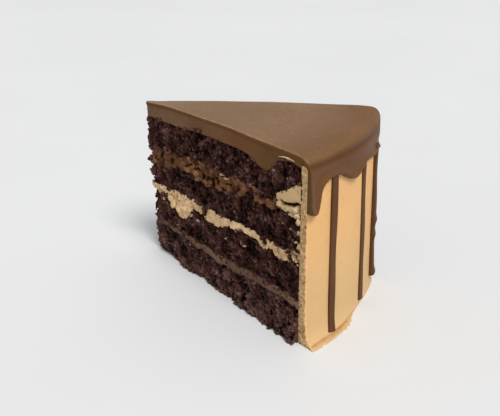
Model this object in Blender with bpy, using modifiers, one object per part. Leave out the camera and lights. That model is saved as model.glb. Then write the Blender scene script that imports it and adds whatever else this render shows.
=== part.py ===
"""A slice of a tall chocolate layer cake, cut from tip to rim.

Four dark sponges are stacked with a crunchy filling inside a buttercream dam, a buttercream filling and
a thin ganache filling. A thick ganache lies on top, under a poured glaze that runs over the rim in drips.
The rim is coated with buttercream, which carries three upright lines of chocolate.
Metres, +Z up. The origin is under the middle of the slice's box, and the tip points to -X.
"""

import math

import bmesh
import bpy
from mathutils import Matrix, Vector

MM = 0.001

# The whole slice
HALF_ANGLE = math.radians(16.0)  # the wedge opens this far to each side of +X
STACK_HEIGHT = 95.0 * MM
FAR_LIFT = 0.055  # the far rim stands this much taller than the near rim
FAR_SHRINK = 0.016  # and the far cut is this much shorter than the near one
GAP = 0.3 * MM  # clearance between pieces that touch
TIP_BLUNT = 0.7 * MM  # how far the tip is rounded off to each side
TIP_FADE = 6.0 * MM

# Radii, from the middle of the whole cake
SPONGE_RIM = 127.0 * MM
DAM_INNER = 111.0 * MM
LIP_INNER = 114.5 * MM
LIP_TURN = 118.0 * MM
COAT_RADIUS = 131.2 * MM
COAT_BACK = 127.3 * MM
STATION_STEP = 4.0 * MM  # spacing of the slabs' rows over the soft middle
STATION_STEP_RIM = 3.5 * MM  # and from here outwards, where the rim's pieces end
STATION_RIM_START = 104.0 * MM
STATION_CLEAR = 0.6 * MM  # no row lies nearer than this to a slab's end
ROWS_ACROSS = 5

# Heights of the surfaces between layers, as (radius, height) in mm along the near and the far cut
GANACHE_LOW = (
    ((0, 18.4), (28, 19.2), (48, 17.6), (66, 16.8), (84, 17.6), (111, 19.2), (127, 18.8)),
    ((0, 18.4), (40, 17.6), (92, 18.8), (127, 18.2)),
)
GANACHE_HIGH = (
    ((0, 20.0), (28, 21.0), (48, 19.9), (66, 19.9), (84, 21.0), (111, 22.6), (127, 22.0)),
    ((0, 20.0), (40, 20.4), (92, 21.8), (127, 20.8)),
)
CREAM_LOW = (
    ((0, 40.2), (8, 39.4), (20, 41.4), (24, 32.0), (28, 28.8), (36, 30.8), (40, 36.4), (44, 39.8), (52, 36.6),
     (64, 37.2), (76, 41.6), (84, 42.3), (96, 40.8), (100, 38.8), (107.5, 42.3), (111, 37.6), (121.5, 40.6),
     (127, 42.2)),
    ((0, 40.2), (20, 38.4), (32, 33.6), (48, 40.2), (72, 37.8), (88, 41.4), (104, 37.4), (127, 41.4)),
)
CREAM_HIGH = (
    ((0, 43.0), (16, 43.8), (36, 44.4), (76, 44.4), (84, 45.6), (111, 44.6), (121.5, 47.4), (127, 45.6)),
    ((0, 43.0), (40, 44.6), (92, 45.2), (127, 46.2)),
)
CRUNCH_LOW = (
    ((0, 56.2), (12, 57.3), (48, 58.5), (68, 59.5), (84, 60.8), (100, 63.4), (111, 64.6), (127, 66.4)),
    ((0, 56.2), (52, 58.2), (88, 60.0), (111, 64.6), (127, 66.4)),
)
CRUNCH_HIGH = (
    ((0, 63.4), (12, 65.9), (32, 67.4), (52, 68.8), (84, 68.6), (107.5, 67.6), (111, 70.9), (127, 81.0)),
    ((0, 63.4), (40, 67.6), (80, 69.0), (107.5, 67.6), (111, 70.9), (127, 81.0)),
)
SPONGE_TOP = (
    ((0, 82.6), (4, 83.6), (32, 83.8), (52, 85.2), (84, 85.5), (92, 84.0), (96, 81.8), (104, 79.9),
     (107.5, 82.4), (111, 86.6), (114.5, 88.7), (121.5, 89.6), (127, 88.8)),
    ((0, 82.6), (32, 84.0), (68, 85.6), (100, 84.6), (111, 86.4), (114.5, 88.0), (127, 88.6)),
)
GLAZE_TOP = (
    ((0, 90.8), (24, 92.9), (52, 93.5), (80, 93.9), (104, 93.3), (118, 93.0)),
    ((0, 90.8), (24, 91.9), (52, 92.8), (80, 93.4), (104, 93.4), (118, 93.3)),
)
GLAZE_THICKNESS = 1.8 * MM

# The rounded rim of the glaze: how far in and how far down the rounding reaches at the near and far cut
RIM_IN = (9.5 * MM, 8.0 * MM)
RIM_DOWN = (4.5 * MM, 9.5 * MM)
RIM_STEPS = 5
RIM_COLUMNS = 16  # sections of the glaze and the coat from one cut to the other
SKIRT_THICKNESS = 1.2 * MM
SKIRT_EDGE = 77.8 * MM
SKIRT_ROWS = (0.75, 0.4, 0.1)  # rows of the hanging part, as shares of its length
SKIRT_ARCH = (-8.6, 2.8, 1.8 * MM)  # a place where the glaze stops higher: degrees, degrees, rise
DRIPS = ((-14.4, 2.2, 11.6 * MM), (-1.6, 3.7, 3.0 * MM), (10.6, 4.2, 1.2 * MM))  # degrees, half width, length
DRIP_COLUMNS = (-0.6, 0.0, 0.6, 0.85, 0.97, 1.05)  # extra sections at a long drip, as shares of its half width
LONG_DRIP = 5.0 * MM
GLAZE_TIP = 4.0 * MM

# The coat and its squeezed-out foot
COAT_ROWS = (0.0, 1.5 * MM, 3.5 * MM, 7.0 * MM, 12.0 * MM, 30.0 * MM, 55.0 * MM, 72.0 * MM)
FOOT_FLARE = 5.2 * MM
FOOT_FLARE_FAR = 0.6 * MM
FOOT_END = -1.5  # degrees, where the foot's lip fades out
FOOT_END_SOFT = 0.7  # degrees over which it fades
FOOT_FADE = 4.5 * MM
COAT_LEAN = (0.6 * MM, 3.2 * MM)  # how far it leans in over the stack's height, at the near and far cut
COAT_WIDER = 2.1 * MM  # how much further out it lies at the far cut

# The sponge at the foot of both cuts leans out
SLUMP = 5.0 * MM
SLUMP_HEIGHT = 16.0 * MM
LUMP = 0.4 * MM
LUMP_WAVES = ((1.0, 4.3 * MM, 6.1 * MM), (0.7, 7.9 * MM, -3.7 * MM))  # share, length outwards, length upwards
LUMP_TURN = 1.7  # radians by which the waves differ from one cut to the other

# Chocolate lines: angle at the top and at the foot in degrees, and the height where each ends
LINES = ((-7.9, -7.5, 2.2 * MM), (3.8, 5.0, 2.4 * MM), (13.2, 14.0, 3.6 * MM))
LINE_WIDTH = 4.6 * MM
LINE_THICKNESS = 0.9 * MM
LINE_ROUNDING = 0.3 * MM
LINE_CLEAR = (-2.2, -1.1, 0.0, 1.1, 2.2)  # degrees beside a line at which its top keeps below the glaze

# Colour, roughness and metallic value of each piece
FINISHES = {
    "glaze": ((0.24, 0.15, 0.10), 0.32),
    "ganache_top": ((0.12, 0.07, 0.045), 0.5),
    "sponge": ((0.028, 0.012, 0.011), 0.85),
    "filling_crunch": ((0.16, 0.075, 0.03), 0.55),
    "buttercream": ((0.62, 0.44, 0.25), 0.6),
    "filling_ganache": ((0.11, 0.06, 0.04), 0.6),
    "coat": ((0.74, 0.47, 0.24), 0.6),
    "chocolate_line": ((0.10, 0.045, 0.025), 0.45),
}


def clear_scene():
    for obj in list(bpy.data.objects):
        bpy.data.objects.remove(obj, do_unlink=True)


def make_material(name):
    colour, roughness = FINISHES[name]
    material = bpy.data.materials.get(name) or bpy.data.materials.new(name)
    material.use_nodes = True
    shader = material.node_tree.nodes["Principled BSDF"]
    shader.inputs["Base Color"].default_value = (*colour, 1.0)
    shader.inputs["Roughness"].default_value = roughness
    shader.inputs["Metallic"].default_value = 0.0
    return material


def add_object(name, mesh_builder, material, collection):
    """Turns a finished bmesh into one named object of the slice."""
    bmesh.ops.recalc_face_normals(mesh_builder, faces=mesh_builder.faces)
    mesh = bpy.data.meshes.new(name)
    mesh_builder.to_mesh(mesh)
    mesh_builder.free()
    mesh.materials.append(make_material(material))
    obj = bpy.data.objects.new(name, mesh)
    collection.objects.link(obj)
    return obj


def along(points, radius):
    """The height on the line through (radius, height) points in mm, level past its ends."""
    radius_mm = radius / MM
    if radius_mm <= points[0][0]:
        return points[0][1] * MM
    for (left, low), (right, high) in zip(points, points[1:]):
        if radius_mm <= right:
            return (low + (high - low) * (radius_mm - left) / (right - left)) * MM
    return points[-1][1] * MM


def surface(table, radius, across):
    """The height of a layer's surface at a radius, from the near cut (0) across to the far cut (1)."""
    near, far = (along(points, radius) for points in table)
    lift = 1.0 + FAR_LIFT * across * min(1.0, radius / SPONGE_RIM)
    return (near + (far - near) * across) * lift


def place(radius, across, height, out=0.0):
    """The point at a radius and height, pushed out of its cut face by out where it lies on one."""
    angle = HALF_ANGLE * (2.0 * across - 1.0)
    side = 2.0 * across - 1.0
    shrunk = radius * (1.0 - FAR_SHRINK * across)
    spread = (out + TIP_BLUNT * math.exp(-radius / TIP_FADE)) * abs(side)
    edge = math.copysign(HALF_ANGLE, side)
    return Vector((
        shrunk * math.cos(angle) - spread * math.sin(HALF_ANGLE),
        shrunk * math.sin(angle) + spread * math.copysign(math.cos(edge), side),
        height,
    ))


def relief(radius, across, height):
    """How far a cut face stands out of its flat plane: lumps all over, and a slump towards the foot."""
    lumps = 0.0
    for number, (share, outwards, upwards) in enumerate(LUMP_WAVES, 1):
        lumps += share * math.sin(radius / outwards + height / upwards + number * LUMP_TURN * across)
    low = max(0.0, 1.0 - height / SLUMP_HEIGHT)
    return LUMP * lumps + SLUMP * low * low * radius / SPONGE_RIM


def stations(tip, rim):
    """Radii of a slab's rows: evenly spaced, closer together near the rim, with its own two ends."""
    count = round(STATION_RIM_START / STATION_STEP)
    radii = [STATION_STEP * index for index in range(1, count + 1)]
    while radii[-1] + STATION_STEP_RIM < SPONGE_RIM:
        radii.append(radii[-1] + STATION_STEP_RIM)
    inside = [radius for radius in radii if tip + STATION_CLEAR < radius < rim - STATION_CLEAR]
    return [tip] + inside + [rim]


def slab(name, low, high, material, collection, tip=2.0 * MM, rim=SPONGE_RIM, levels=3, belly=0.0):
    """A layer between two surfaces, as heights of (radius, across), with uneven cut faces.

    Its walls have this many levels, and the middle ones stand out by belly or, if negative, sink in.
    """
    radii = stations(tip, rim)
    last_row, last_column = len(radii) - 1, ROWS_ACROSS - 1
    loop = [(row, 0) for row in range(last_row)]
    loop += [(last_row, column) for column in range(last_column)]
    loop += [(row, last_column) for row in range(last_row, 0, -1)]
    loop += [(0, column) for column in range(last_column, 0, -1)]
    builder = bmesh.new()
    grid = {}
    for row, radius in enumerate(radii):
        for column in range(ROWS_ACROSS):
            across = column / last_column
            bottom = low(radius, across)
            top = high(radius, across)
            on_wall = (row, column) in loop
            for level in range(levels + 1) if on_wall else (0, levels):
                share = level / levels
                height = bottom + (top - bottom) * share
                out = 0.0
                if column in (0, last_column):
                    out = relief(radius, across, height) + belly * math.sin(math.pi * share)
                grid[row, column, level] = builder.verts.new(place(radius, across, height, out))
    for row in range(last_row):
        for column in range(last_column):
            for level in (0, levels):
                corner = [grid[row + a, column + b, level] for a, b in ((0, 0), (1, 0), (1, 1), (0, 1))]
                builder.faces.new((corner[0], corner[1], corner[2]))
                builder.faces.new((corner[0], corner[2], corner[3]))
    for (row, column), (next_row, next_column) in zip(loop, loop[1:] + loop[:1]):
        for level in range(levels):
            builder.faces.new((
                grid[row, column, level],
                grid[next_row, next_column, level],
                grid[next_row, next_column, level + 1],
                grid[row, column, level + 1],
            ))
    return add_object(name, builder, material, collection)


def between(lower_table, upper_table):
    """The two height functions of a layer that fills the space between two surfaces, less the gaps."""

    def low(radius, across):
        return surface(lower_table, radius, across) + GAP / 2 if lower_table else 0.0

    def high(radius, across):
        return surface(upper_table, radius, across) - GAP / 2

    return low, high


def glaze_under(radius, across):
    """The underside of the glaze over the flat of the cake."""
    return surface(GLAZE_TOP, radius, across) - GLAZE_THICKNESS


def ganache_high(radius, across):
    return glaze_under(radius, across) - GAP


def swept(name, sections, material, collection):
    """A closed solid through one closed outline for each share of the way across, near to far."""
    builder = bmesh.new()
    rings = []
    for across, outline in sections:
        rings.append([builder.verts.new(place(radius, across, height)) for radius, height in outline])
    count = len(rings[0])
    for ring, following in zip(rings, rings[1:]):
        for index in range(count):
            after = (index + 1) % count
            builder.faces.new((ring[index], ring[after], following[after], following[index]))
    builder.faces.new(rings[0])
    builder.faces.new(rings[-1])
    return add_object(name, builder, material, collection)


def degrees_to_across(degrees):
    return 0.5 + 0.5 * math.radians(degrees) / HALF_ANGLE


def across_to_degrees(across):
    return math.degrees(HALF_ANGLE * (2.0 * across - 1.0))


def steps_across(count, extra=()):
    """Evenly spaced shares of the way across, with extra ones given in degrees."""
    shares = {round(index / count, 5) for index in range(count + 1)}
    shares |= {round(degrees_to_across(degrees), 5) for degrees in extra}
    return sorted(share for share in shares if 0.0 <= share <= 1.0)


def skirt_edge(across):
    """How low the glaze runs down the coat."""
    degrees = across_to_degrees(across)
    centre, width, rise = SKIRT_ARCH
    edge = SKIRT_EDGE + rise * math.exp(-(((degrees - centre) / width) ** 2))
    for centre, half_width, length in DRIPS:
        offset = abs(degrees - centre) / half_width
        if offset < 1.0:
            edge -= length * math.sqrt(1.0 - offset**4)
    return edge


def coat_radius(across, height):
    """The outside of the coat: it leans in a little, mostly at the far cut, and its foot spreads."""
    lean = (COAT_LEAN[0] + (COAT_LEAN[1] - COAT_LEAN[0]) * across) * height / STACK_HEIGHT
    fade = 1.0 / (1.0 + math.exp((across_to_degrees(across) - FOOT_END) / FOOT_END_SOFT))
    flare = FOOT_FLARE_FAR + (FOOT_FLARE - FOOT_FLARE_FAR) * fade
    return COAT_RADIUS + COAT_WIDER * across - lean + flare * math.exp(-height / FOOT_FADE)


def rim_curve(across, inwards=0.0, down=0.0):
    """The rounded rim from the flat top outwards, this far inside and below the glaze's outer surface."""
    reach = RIM_IN[0] + (RIM_IN[1] - RIM_IN[0]) * across
    drop = RIM_DOWN[0] + (RIM_DOWN[1] - RIM_DOWN[0]) * across
    top = surface(GLAZE_TOP, SPONGE_RIM, across) - down
    outside = coat_radius(across, top - drop) + GAP + SKIRT_THICKNESS - inwards
    points = []
    for step in range(RIM_STEPS + 1):
        turn = math.pi / 2 * step / RIM_STEPS
        points.append((outside - reach + reach * math.sin(turn), top - drop + drop * math.cos(turn)))
    return points


def glaze(collection):
    """The poured glaze: a thin sheet over the top that rounds the rim and hangs down the coat in drips."""
    drip_degrees = [
        centre + share * half_width
        for centre, half_width, length in DRIPS
        if length > LONG_DRIP
        for share in DRIP_COLUMNS
    ]
    flat = [GLAZE_TIP] + [radius * MM for radius, height in GLAZE_TOP[0][1:]]
    sections = []
    for across in steps_across(RIM_COLUMNS, drip_degrees):
        edge = skirt_edge(across)
        outer = [(radius, surface(GLAZE_TOP, radius, across)) for radius in flat]
        outer += rim_curve(across)
        inner = [(radius, glaze_under(radius, across)) for radius in flat]
        inner += rim_curve(across, SKIRT_THICKNESS, GLAZE_THICKNESS)
        outer_end = outer[-1][1]
        inner_end = inner[-1][1]
        for share in SKIRT_ROWS:
            height = edge + (outer_end - edge) * share
            outer.append((coat_radius(across, height) + GAP + SKIRT_THICKNESS, height))
            height = edge + (inner_end - edge) * share
            inner.append((coat_radius(across, height) + GAP, height))
        outer.append((coat_radius(across, edge) + GAP + SKIRT_THICKNESS / 2, edge))
        sections.append((across, outer + inner[::-1]))
    return swept("glaze", sections, "glaze", collection)


def coat(collection):
    """The buttercream on the rim, with a thin lip that reaches in over the top sponge."""
    sections = []
    for across in steps_across(RIM_COLUMNS):
        outline = [(COAT_BACK, 0.0)]
        outline += [(coat_radius(across, height), height) for height in COAT_ROWS]
        rounded = rim_curve(across, SKIRT_THICKNESS + GAP, GLAZE_THICKNESS + GAP)
        outline += reversed(rounded)
        outline += [(radius, ganache_high(radius, across)) for radius in (LIP_TURN, LIP_INNER)]
        lip = stations(LIP_INNER, SPONGE_RIM)[:-1]
        for radius in lip + [COAT_BACK]:
            outline.append((radius, surface(SPONGE_TOP, radius, across) + GAP))
        sections.append((across, outline))
    return swept("coat", sections, "coat", collection)


def chocolate_line(index, collection):
    """One upright line of chocolate on the coat, a rounded strip that ends under the glaze."""
    at_top, at_foot, end = LINES[index]
    top = min(skirt_edge(degrees_to_across(at_top + lean)) for lean in LINE_CLEAR) - GAP
    heights = [end] + [height for height in COAT_ROWS if end < height < top] + [top]
    half_width = math.degrees(LINE_WIDTH / 2 / COAT_RADIUS)
    builder = bmesh.new()
    rows = []
    for height in heights:
        middle = at_foot + (at_top - at_foot) * height / top
        row = []
        for side in (-1.0, 0.0, 1.0):
            across = degrees_to_across(middle + side * half_width)
            row.append(builder.verts.new(place(coat_radius(across, height) + GAP, across, height)))
        rows.append(row)
    for row, following in zip(rows, rows[1:]):
        for left in range(2):
            builder.faces.new((row[left], row[left + 1], following[left + 1], following[left]))
    obj = add_object(f"chocolate_line_{index + 1}", builder, "chocolate_line", collection)
    thick = obj.modifiers.new("thickness", "SOLIDIFY")
    thick.thickness = LINE_THICKNESS
    thick.offset = 1.0
    rounding = obj.modifiers.new("rounding", "BEVEL")
    rounding.width = LINE_ROUNDING
    rounding.segments = 1
    rounding.limit_method = "ANGLE"
    return obj


def stand_on_origin(collection):
    """Moves every piece so that the origin is under the middle of the slice's box."""
    corners = [corner for obj in collection.objects for corner in (vertex.co for vertex in obj.data.vertices)]
    low = Vector([min(corner[axis] for corner in corners) for axis in range(3)])
    high = Vector([max(corner[axis] for corner in corners) for axis in range(3)])
    shift = Vector((-(low.x + high.x) / 2, -(low.y + high.y) / 2, -low.z))
    for obj in collection.objects:
        obj.data.transform(Matrix.Translation(shift))


def build():
    clear_scene()
    collection = bpy.data.collections.new("chocolate_crunch_slice")
    bpy.context.scene.collection.children.link(collection)
    slab("sponge_4", *between(None, GANACHE_LOW), "sponge", collection, tip=1.6 * MM, levels=5)
    slab("filling_ganache", *between(GANACHE_LOW, GANACHE_HIGH), "filling_ganache", collection,
         tip=2.4 * MM, levels=1)
    slab("sponge_3", *between(GANACHE_HIGH, CREAM_LOW), "sponge", collection, tip=2.6 * MM, belly=0.5 * MM)
    slab("filling_buttercream", *between(CREAM_LOW, CREAM_HIGH), "buttercream", collection,
         tip=1.2 * MM, levels=2, belly=-0.4 * MM)
    slab("sponge_2", *between(CREAM_HIGH, CRUNCH_LOW), "sponge", collection, tip=3.0 * MM, belly=0.5 * MM)
    slab("filling_crunch", *between(CRUNCH_LOW, CRUNCH_HIGH), "filling_crunch", collection,
         tip=1.4 * MM, rim=DAM_INNER - GAP, levels=2, belly=-0.3 * MM)
    slab("buttercream_dam", *between(CRUNCH_LOW, CRUNCH_HIGH), "buttercream", collection,
         tip=DAM_INNER, levels=2)
    slab("sponge_1", *between(CRUNCH_HIGH, SPONGE_TOP), "sponge", collection, tip=1.8 * MM, belly=0.4 * MM)
    ganache_low = between(SPONGE_TOP, None)[0]
    slab("ganache_top", ganache_low, ganache_high, "ganache_top", collection, tip=2.2 * MM,
         rim=LIP_INNER - GAP, levels=2)
    glaze(collection)
    coat(collection)
    for index in range(len(LINES)):
        chocolate_line(index, collection)
    stand_on_origin(collection)


build()
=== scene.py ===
"""The looks of a slice of tall chocolate layer cake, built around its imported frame.

Each layer, coat and topping of the slice is a class that builds and dresses its own meshes.
"""

import logging
import math
from dataclasses import dataclass, field, replace
from enum import Enum
from typing import Any, Sequence

import bpy
import numpy as np
from bpy.types import Material, Node, NodeSocket, NodeTree, Object
from mathutils import Matrix, Vector
from mathutils.bvhtree import BVHTree


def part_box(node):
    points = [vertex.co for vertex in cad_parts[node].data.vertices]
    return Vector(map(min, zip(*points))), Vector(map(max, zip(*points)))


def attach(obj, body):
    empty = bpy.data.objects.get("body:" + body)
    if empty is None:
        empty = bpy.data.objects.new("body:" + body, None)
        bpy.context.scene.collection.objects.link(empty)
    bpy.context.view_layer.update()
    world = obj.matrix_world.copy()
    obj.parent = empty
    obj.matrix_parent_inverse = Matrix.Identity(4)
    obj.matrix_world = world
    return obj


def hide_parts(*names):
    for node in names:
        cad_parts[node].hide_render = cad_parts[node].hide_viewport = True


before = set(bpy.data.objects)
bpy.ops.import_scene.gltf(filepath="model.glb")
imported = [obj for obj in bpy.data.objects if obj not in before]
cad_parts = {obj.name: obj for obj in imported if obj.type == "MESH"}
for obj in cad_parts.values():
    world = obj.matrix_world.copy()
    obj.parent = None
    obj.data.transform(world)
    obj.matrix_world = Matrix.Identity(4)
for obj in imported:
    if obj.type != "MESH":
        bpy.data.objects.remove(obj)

LOG = logging.getLogger("slice")
MM = 0.001
BODY = "root"
Colour = tuple[float, float, float]
Numbers = float | np.ndarray


# ---- the slice's own coordinates


class Side(Enum):
    """The two cut faces of the wedge, as shares of the way across."""

    NEAR = 0.0
    FAR = 1.0


@dataclass(frozen=True)
class Wedge:
    """Places points by radius, share of the way across, height and distance out of the cut face.

    Attributes:
        centre_x: Where the whole cake's middle lies.
        half_angle: Half the angle that the slice opens.
        far_shrink: By what share radii are shorter at the far cut.
        tip_blunt: How far the faces stand apart at the very tip.
    """

    centre_x: float
    half_angle: float = math.radians(16.0)
    far_shrink: float = 0.016
    tip_blunt: float = 0.7 * MM
    tip_fade: float = 6.0 * MM

    def place(self, radius: Numbers, across: Numbers, height: Numbers, out: Numbers = 0.0) -> np.ndarray:
        """Gives points in the row frame.

        Args:
            radius: Distance from the whole cake's middle.
            across: Share of the way from the near cut to the far cut.
            height: Height above the surface that the slice stands on.
            out: How far a point on a cut face is pushed out of that face.

        Returns:
            An array whose last axis holds x, y and z.
        """
        radius, across, height, out = np.broadcast_arrays(radius, across, height, out)
        side = 2.0 * across - 1.0
        angle = self.half_angle * side
        shrunk = radius * (1.0 - self.far_shrink * across)
        spread = (out + self.tip_blunt * np.exp(-radius / self.tip_fade)) * np.abs(side)
        x = shrunk * np.cos(angle) - spread * math.sin(self.half_angle) + self.centre_x
        y = shrunk * np.sin(angle) + spread * math.cos(self.half_angle) * np.sign(side)
        return np.stack([x, y, height], axis=-1)

    def degrees(self, across: Numbers) -> Numbers:
        """Gives the angle from the slice's middle in degrees."""
        return np.degrees(self.half_angle * (2.0 * np.asarray(across) - 1.0))

    def across(self, degrees: Numbers) -> Numbers:
        """Gives the share of the way across at an angle in degrees."""
        return 0.5 + 0.5 * np.radians(degrees) / self.half_angle


def waves(points: np.ndarray, length: float, seed: int, count: int = 9) -> np.ndarray:
    """Smooth unevenness made of plane waves in random directions.

    Args:
        points: Points as an array whose last axis holds x, y and z.
        length: The middle wavelength in metres.
        seed: Which unevenness this is.
        count: How many waves are added up.

    Returns:
        Values of about -1 to 1, one for each point.
    """
    random = np.random.default_rng(seed)
    total = np.zeros(points.shape[:-1])
    for _ in range(count):
        direction = random.normal(size=3)
        direction /= np.linalg.norm(direction)
        pitch = length * random.uniform(0.6, 1.7)
        total += np.sin(points @ direction * (2.0 * math.pi / pitch) + random.uniform(0.0, 2.0 * math.pi))
    return total / math.sqrt(2.0 * count)


def smooth_step(low: float, high: float, values: Numbers) -> np.ndarray:
    """Rises smoothly from 0 at low to 1 at high."""
    share = np.clip((np.asarray(values, float) - low) / (high - low), 0.0, 1.0)
    return share * share * (3.0 - 2.0 * share)


def hill(values: Numbers, middle: float, width: float) -> Numbers:
    """Gives 1 at the middle, falling off smoothly to both sides."""
    return np.exp(-(((values - middle) / width) ** 2))


def rounded_box(count: int) -> tuple[np.ndarray, np.ndarray]:
    """Gives points round a box with well rounded corners, from -1 to 1 in both directions."""
    turn = np.linspace(0.0, 2.0 * math.pi, count, endpoint=False)
    powers = ((np.cos(turn), 0.4), (np.sin(turn), 0.6))
    return tuple(np.sign(wave) * np.abs(wave) ** power for wave, power in powers)


def between(ends: tuple[float, float], across: Numbers) -> Numbers:
    """Gives a value that runs from its near-cut to its far-cut end."""
    return ends[0] + (ends[1] - ends[0]) * across


def soften(values: np.ndarray, reach: int) -> np.ndarray:
    """Averages each value of a row with its neighbours.

    Args:
        values: The row.
        reach: How many neighbours to each side weigh much.

    Returns:
        The softened row.
    """
    bell = np.exp(-0.5 * (np.arange(-2 * reach, 2 * reach + 1) / max(reach, 1)) ** 2)
    padded = np.pad(values, 2 * reach, mode="edge")
    return np.convolve(padded, bell / bell.sum(), mode="valid")


class LayerReader:
    """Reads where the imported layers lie, by casting upright rays at them."""

    CLEAR = 0.5  # metres, well past the slice above and below
    INSET = 1.3 * MM  # rays stay this far inside the uneven cut faces
    NARROWEST = 2.5 * INSET  # below this radius the slice is too thin for the full inset

    def __init__(self, wedge: Wedge) -> None:
        """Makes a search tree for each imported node."""
        self.wedge = wedge
        self.trees = {}
        for name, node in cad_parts.items():
            points = [vertex.co.copy() for vertex in node.data.vertices]
            faces = [tuple(face.vertices) for face in node.data.polygons]
            self.trees[name] = BVHTree.FromPolygons(points, faces)

    def surface(self, node: str, radii: np.ndarray, across: float, upper: bool) -> np.ndarray:
        """Gives the height of a node's top or bottom along a row of radii.

        Args:
            node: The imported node's name.
            radii: Rising radii from the whole cake's middle.
            across: Share of the way across.
            upper: Whether the top is asked for, and not the bottom.

        Returns:
            One height for each radius, carried on past the node's ends.
        """
        inset = self.INSET / (2.0 * self.wedge.half_angle * np.maximum(radii, self.NARROWEST))
        shares = np.clip(across, inset, 1.0 - inset)
        start = self.CLEAR if upper else -self.CLEAR
        points = self.wedge.place(radii, shares, start)
        heading = Vector((0.0, 0.0, -1.0 if upper else 1.0))
        hits = [self.trees[node].ray_cast(Vector(point), heading)[0] for point in points]
        found = np.array([hit is not None for hit in hits])
        heights = np.array([hit.z for hit in hits if hit is not None])
        return np.interp(radii, radii[found], heights)


# ---- meshes


def add_object(name: str, data: Any) -> Object:
    """Adds an object for some data to the scene."""
    piece = bpy.data.objects.new(name, data)
    bpy.context.scene.collection.objects.link(piece)
    return piece


def closed_stack(name: str, rings: np.ndarray, patch: tuple = (), **values: np.ndarray) -> Object:
    """Makes one closed piece through a stack of closed rings, with its faces pointing out.

    Args:
        name: The piece's name.
        rings: Array of rings, points on a ring, and x, y and z.
        patch: Extra points and the faces that close the last ring, if one flat face can't.
        values: Numbers for each ring point, kept as attributes of the mesh's points.

    Returns:
        The new object, at the origin.
    """
    count, around = rings.shape[:2]
    points = rings.reshape(-1, 3)
    row = np.arange(count - 1)[:, None] * around
    column = np.arange(around)[None, :]
    after = (column + 1) % around
    quads = np.stack([row + column, row + after, row + around + after, row + around + column], axis=-1)
    quads = quads.reshape(-1, 4)
    ends = [np.arange(around)[::-1], np.arange(around) + (count - 1) * around]
    fans = [np.stack([np.full(around - 2, end[0]), end[1:-1], end[2:]], axis=-1) for end in ends]
    corners = points[np.concatenate([quads[:, :3], quads[:, (0, 2, 3)], *fans])]
    volume = np.einsum("ij,ij->i", np.cross(corners[:, 0], corners[:, 1]), corners[:, 2]).sum()
    faces = quads.tolist() + [ends[0].tolist()] + (patch[1] if patch else [ends[1].tolist()])
    if patch:
        points = np.concatenate([points, patch[0]])
    if volume < 0.0:
        faces = [face[::-1] for face in faces]
    mesh = bpy.data.meshes.new(name)
    mesh.from_pydata(points.tolist(), [], faces)
    mesh.validate()
    for key, numbers in values.items():
        attribute = mesh.attributes.new(key, "FLOAT", "POINT")
        padding = np.zeros(len(points) - numbers.size)
        attribute.data.foreach_set("value", np.concatenate([numbers.reshape(-1), padding]).astype(np.float32))
    mesh.shade_smooth()
    return add_object(name, mesh)


def join(pieces: Sequence[Object]) -> Object:
    """Joins the meshes of several objects.

    Args:
        pieces: The objects.

    Returns:
        The first of them, which holds the other meshes too.
    """
    first = pieces[0]
    with bpy.context.temp_override(active_object=first, object=first, selected_editable_objects=pieces):
        bpy.ops.object.join()
    first.data.shade_smooth()
    return first


def read_points(piece: Object) -> np.ndarray:
    """Gives an object's points as rows of x, y and z."""
    points = np.empty(3 * len(piece.data.vertices))
    piece.data.vertices.foreach_get("co", points)
    return points.reshape(-1, 3)


def finish_piece(piece: Object, replaced: Sequence[str] = (),
                 material: Material | None = None) -> Object:
    """Hands a finished piece to the frame, with nothing below the floor.

    Args:
        piece: The piece, in place.
        replaced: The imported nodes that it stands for.
        material: Its finish, if it isn't dressed yet.

    Returns:
        The same piece.
    """
    if material:
        piece.data.materials.append(material)
    points = read_points(piece)
    points[:, 2] = np.maximum(points[:, 2], 0.0)
    piece.data.vertices.foreach_set("co", points.reshape(-1))
    piece.data.update()
    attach(piece, BODY)
    if replaced:
        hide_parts(*replaced)
    LOG.info("%s: %d faces", piece.name, len(piece.data.polygons))
    return piece


# ---- node trees


@dataclass(frozen=True)
class Wire:
    """An output of a node. Operators on it add the maths nodes of a formula."""

    nodes: "Nodes"
    socket: NodeSocket

    def __add__(self, other: Any) -> "Wire":
        """Adds a number."""
        return self.nodes.math("ADD", self, other)

    def __sub__(self, other: Any) -> "Wire":
        """Takes a number away."""
        return self.nodes.math("SUBTRACT", self, other)

    def __mul__(self, other: Any) -> "Wire":
        """Multiplies by a number."""
        return self.nodes.math("MULTIPLY", self, other)

    def __truediv__(self, other: Any) -> "Wire":
        """Divides by a number."""
        return self.nodes.math("DIVIDE", self, other)

    def __rtruediv__(self, other: Any) -> "Wire":
        """Divides a number by this one."""
        return self.nodes.math("DIVIDE", other, self)

    def __lt__(self, other: Any) -> "Wire":
        """Gives 1 where this is less, and 0 elsewhere."""
        return self.nodes.math("LESS_THAN", self, other)

    def __gt__(self, other: Any) -> "Wire":
        """Gives 1 where this is more, and 0 elsewhere."""
        return self.nodes.math("GREATER_THAN", self, other)

    def ramp(self, low: Any, high: Any, start: float = 0.0, end: float = 1.0, soft: bool = True) -> "Wire":
        """Maps low..high to start..end and holds the value past both ends.

        Args:
            low: Where the ramp starts.
            high: Where it ends.
            start: The result at low.
            end: The result at high.
            soft: Whether it eases in and out.

        Returns:
            The mapped value.
        """
        feeds = {"Value": self, "From Min": low, "From Max": high, "To Min": start, "To Max": end}
        kind = "SMOOTHSTEP" if soft else "LINEAR"
        return self.nodes.make("ShaderNodeMapRange", feeds, interpolation_type=kind, clamp=True)


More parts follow.
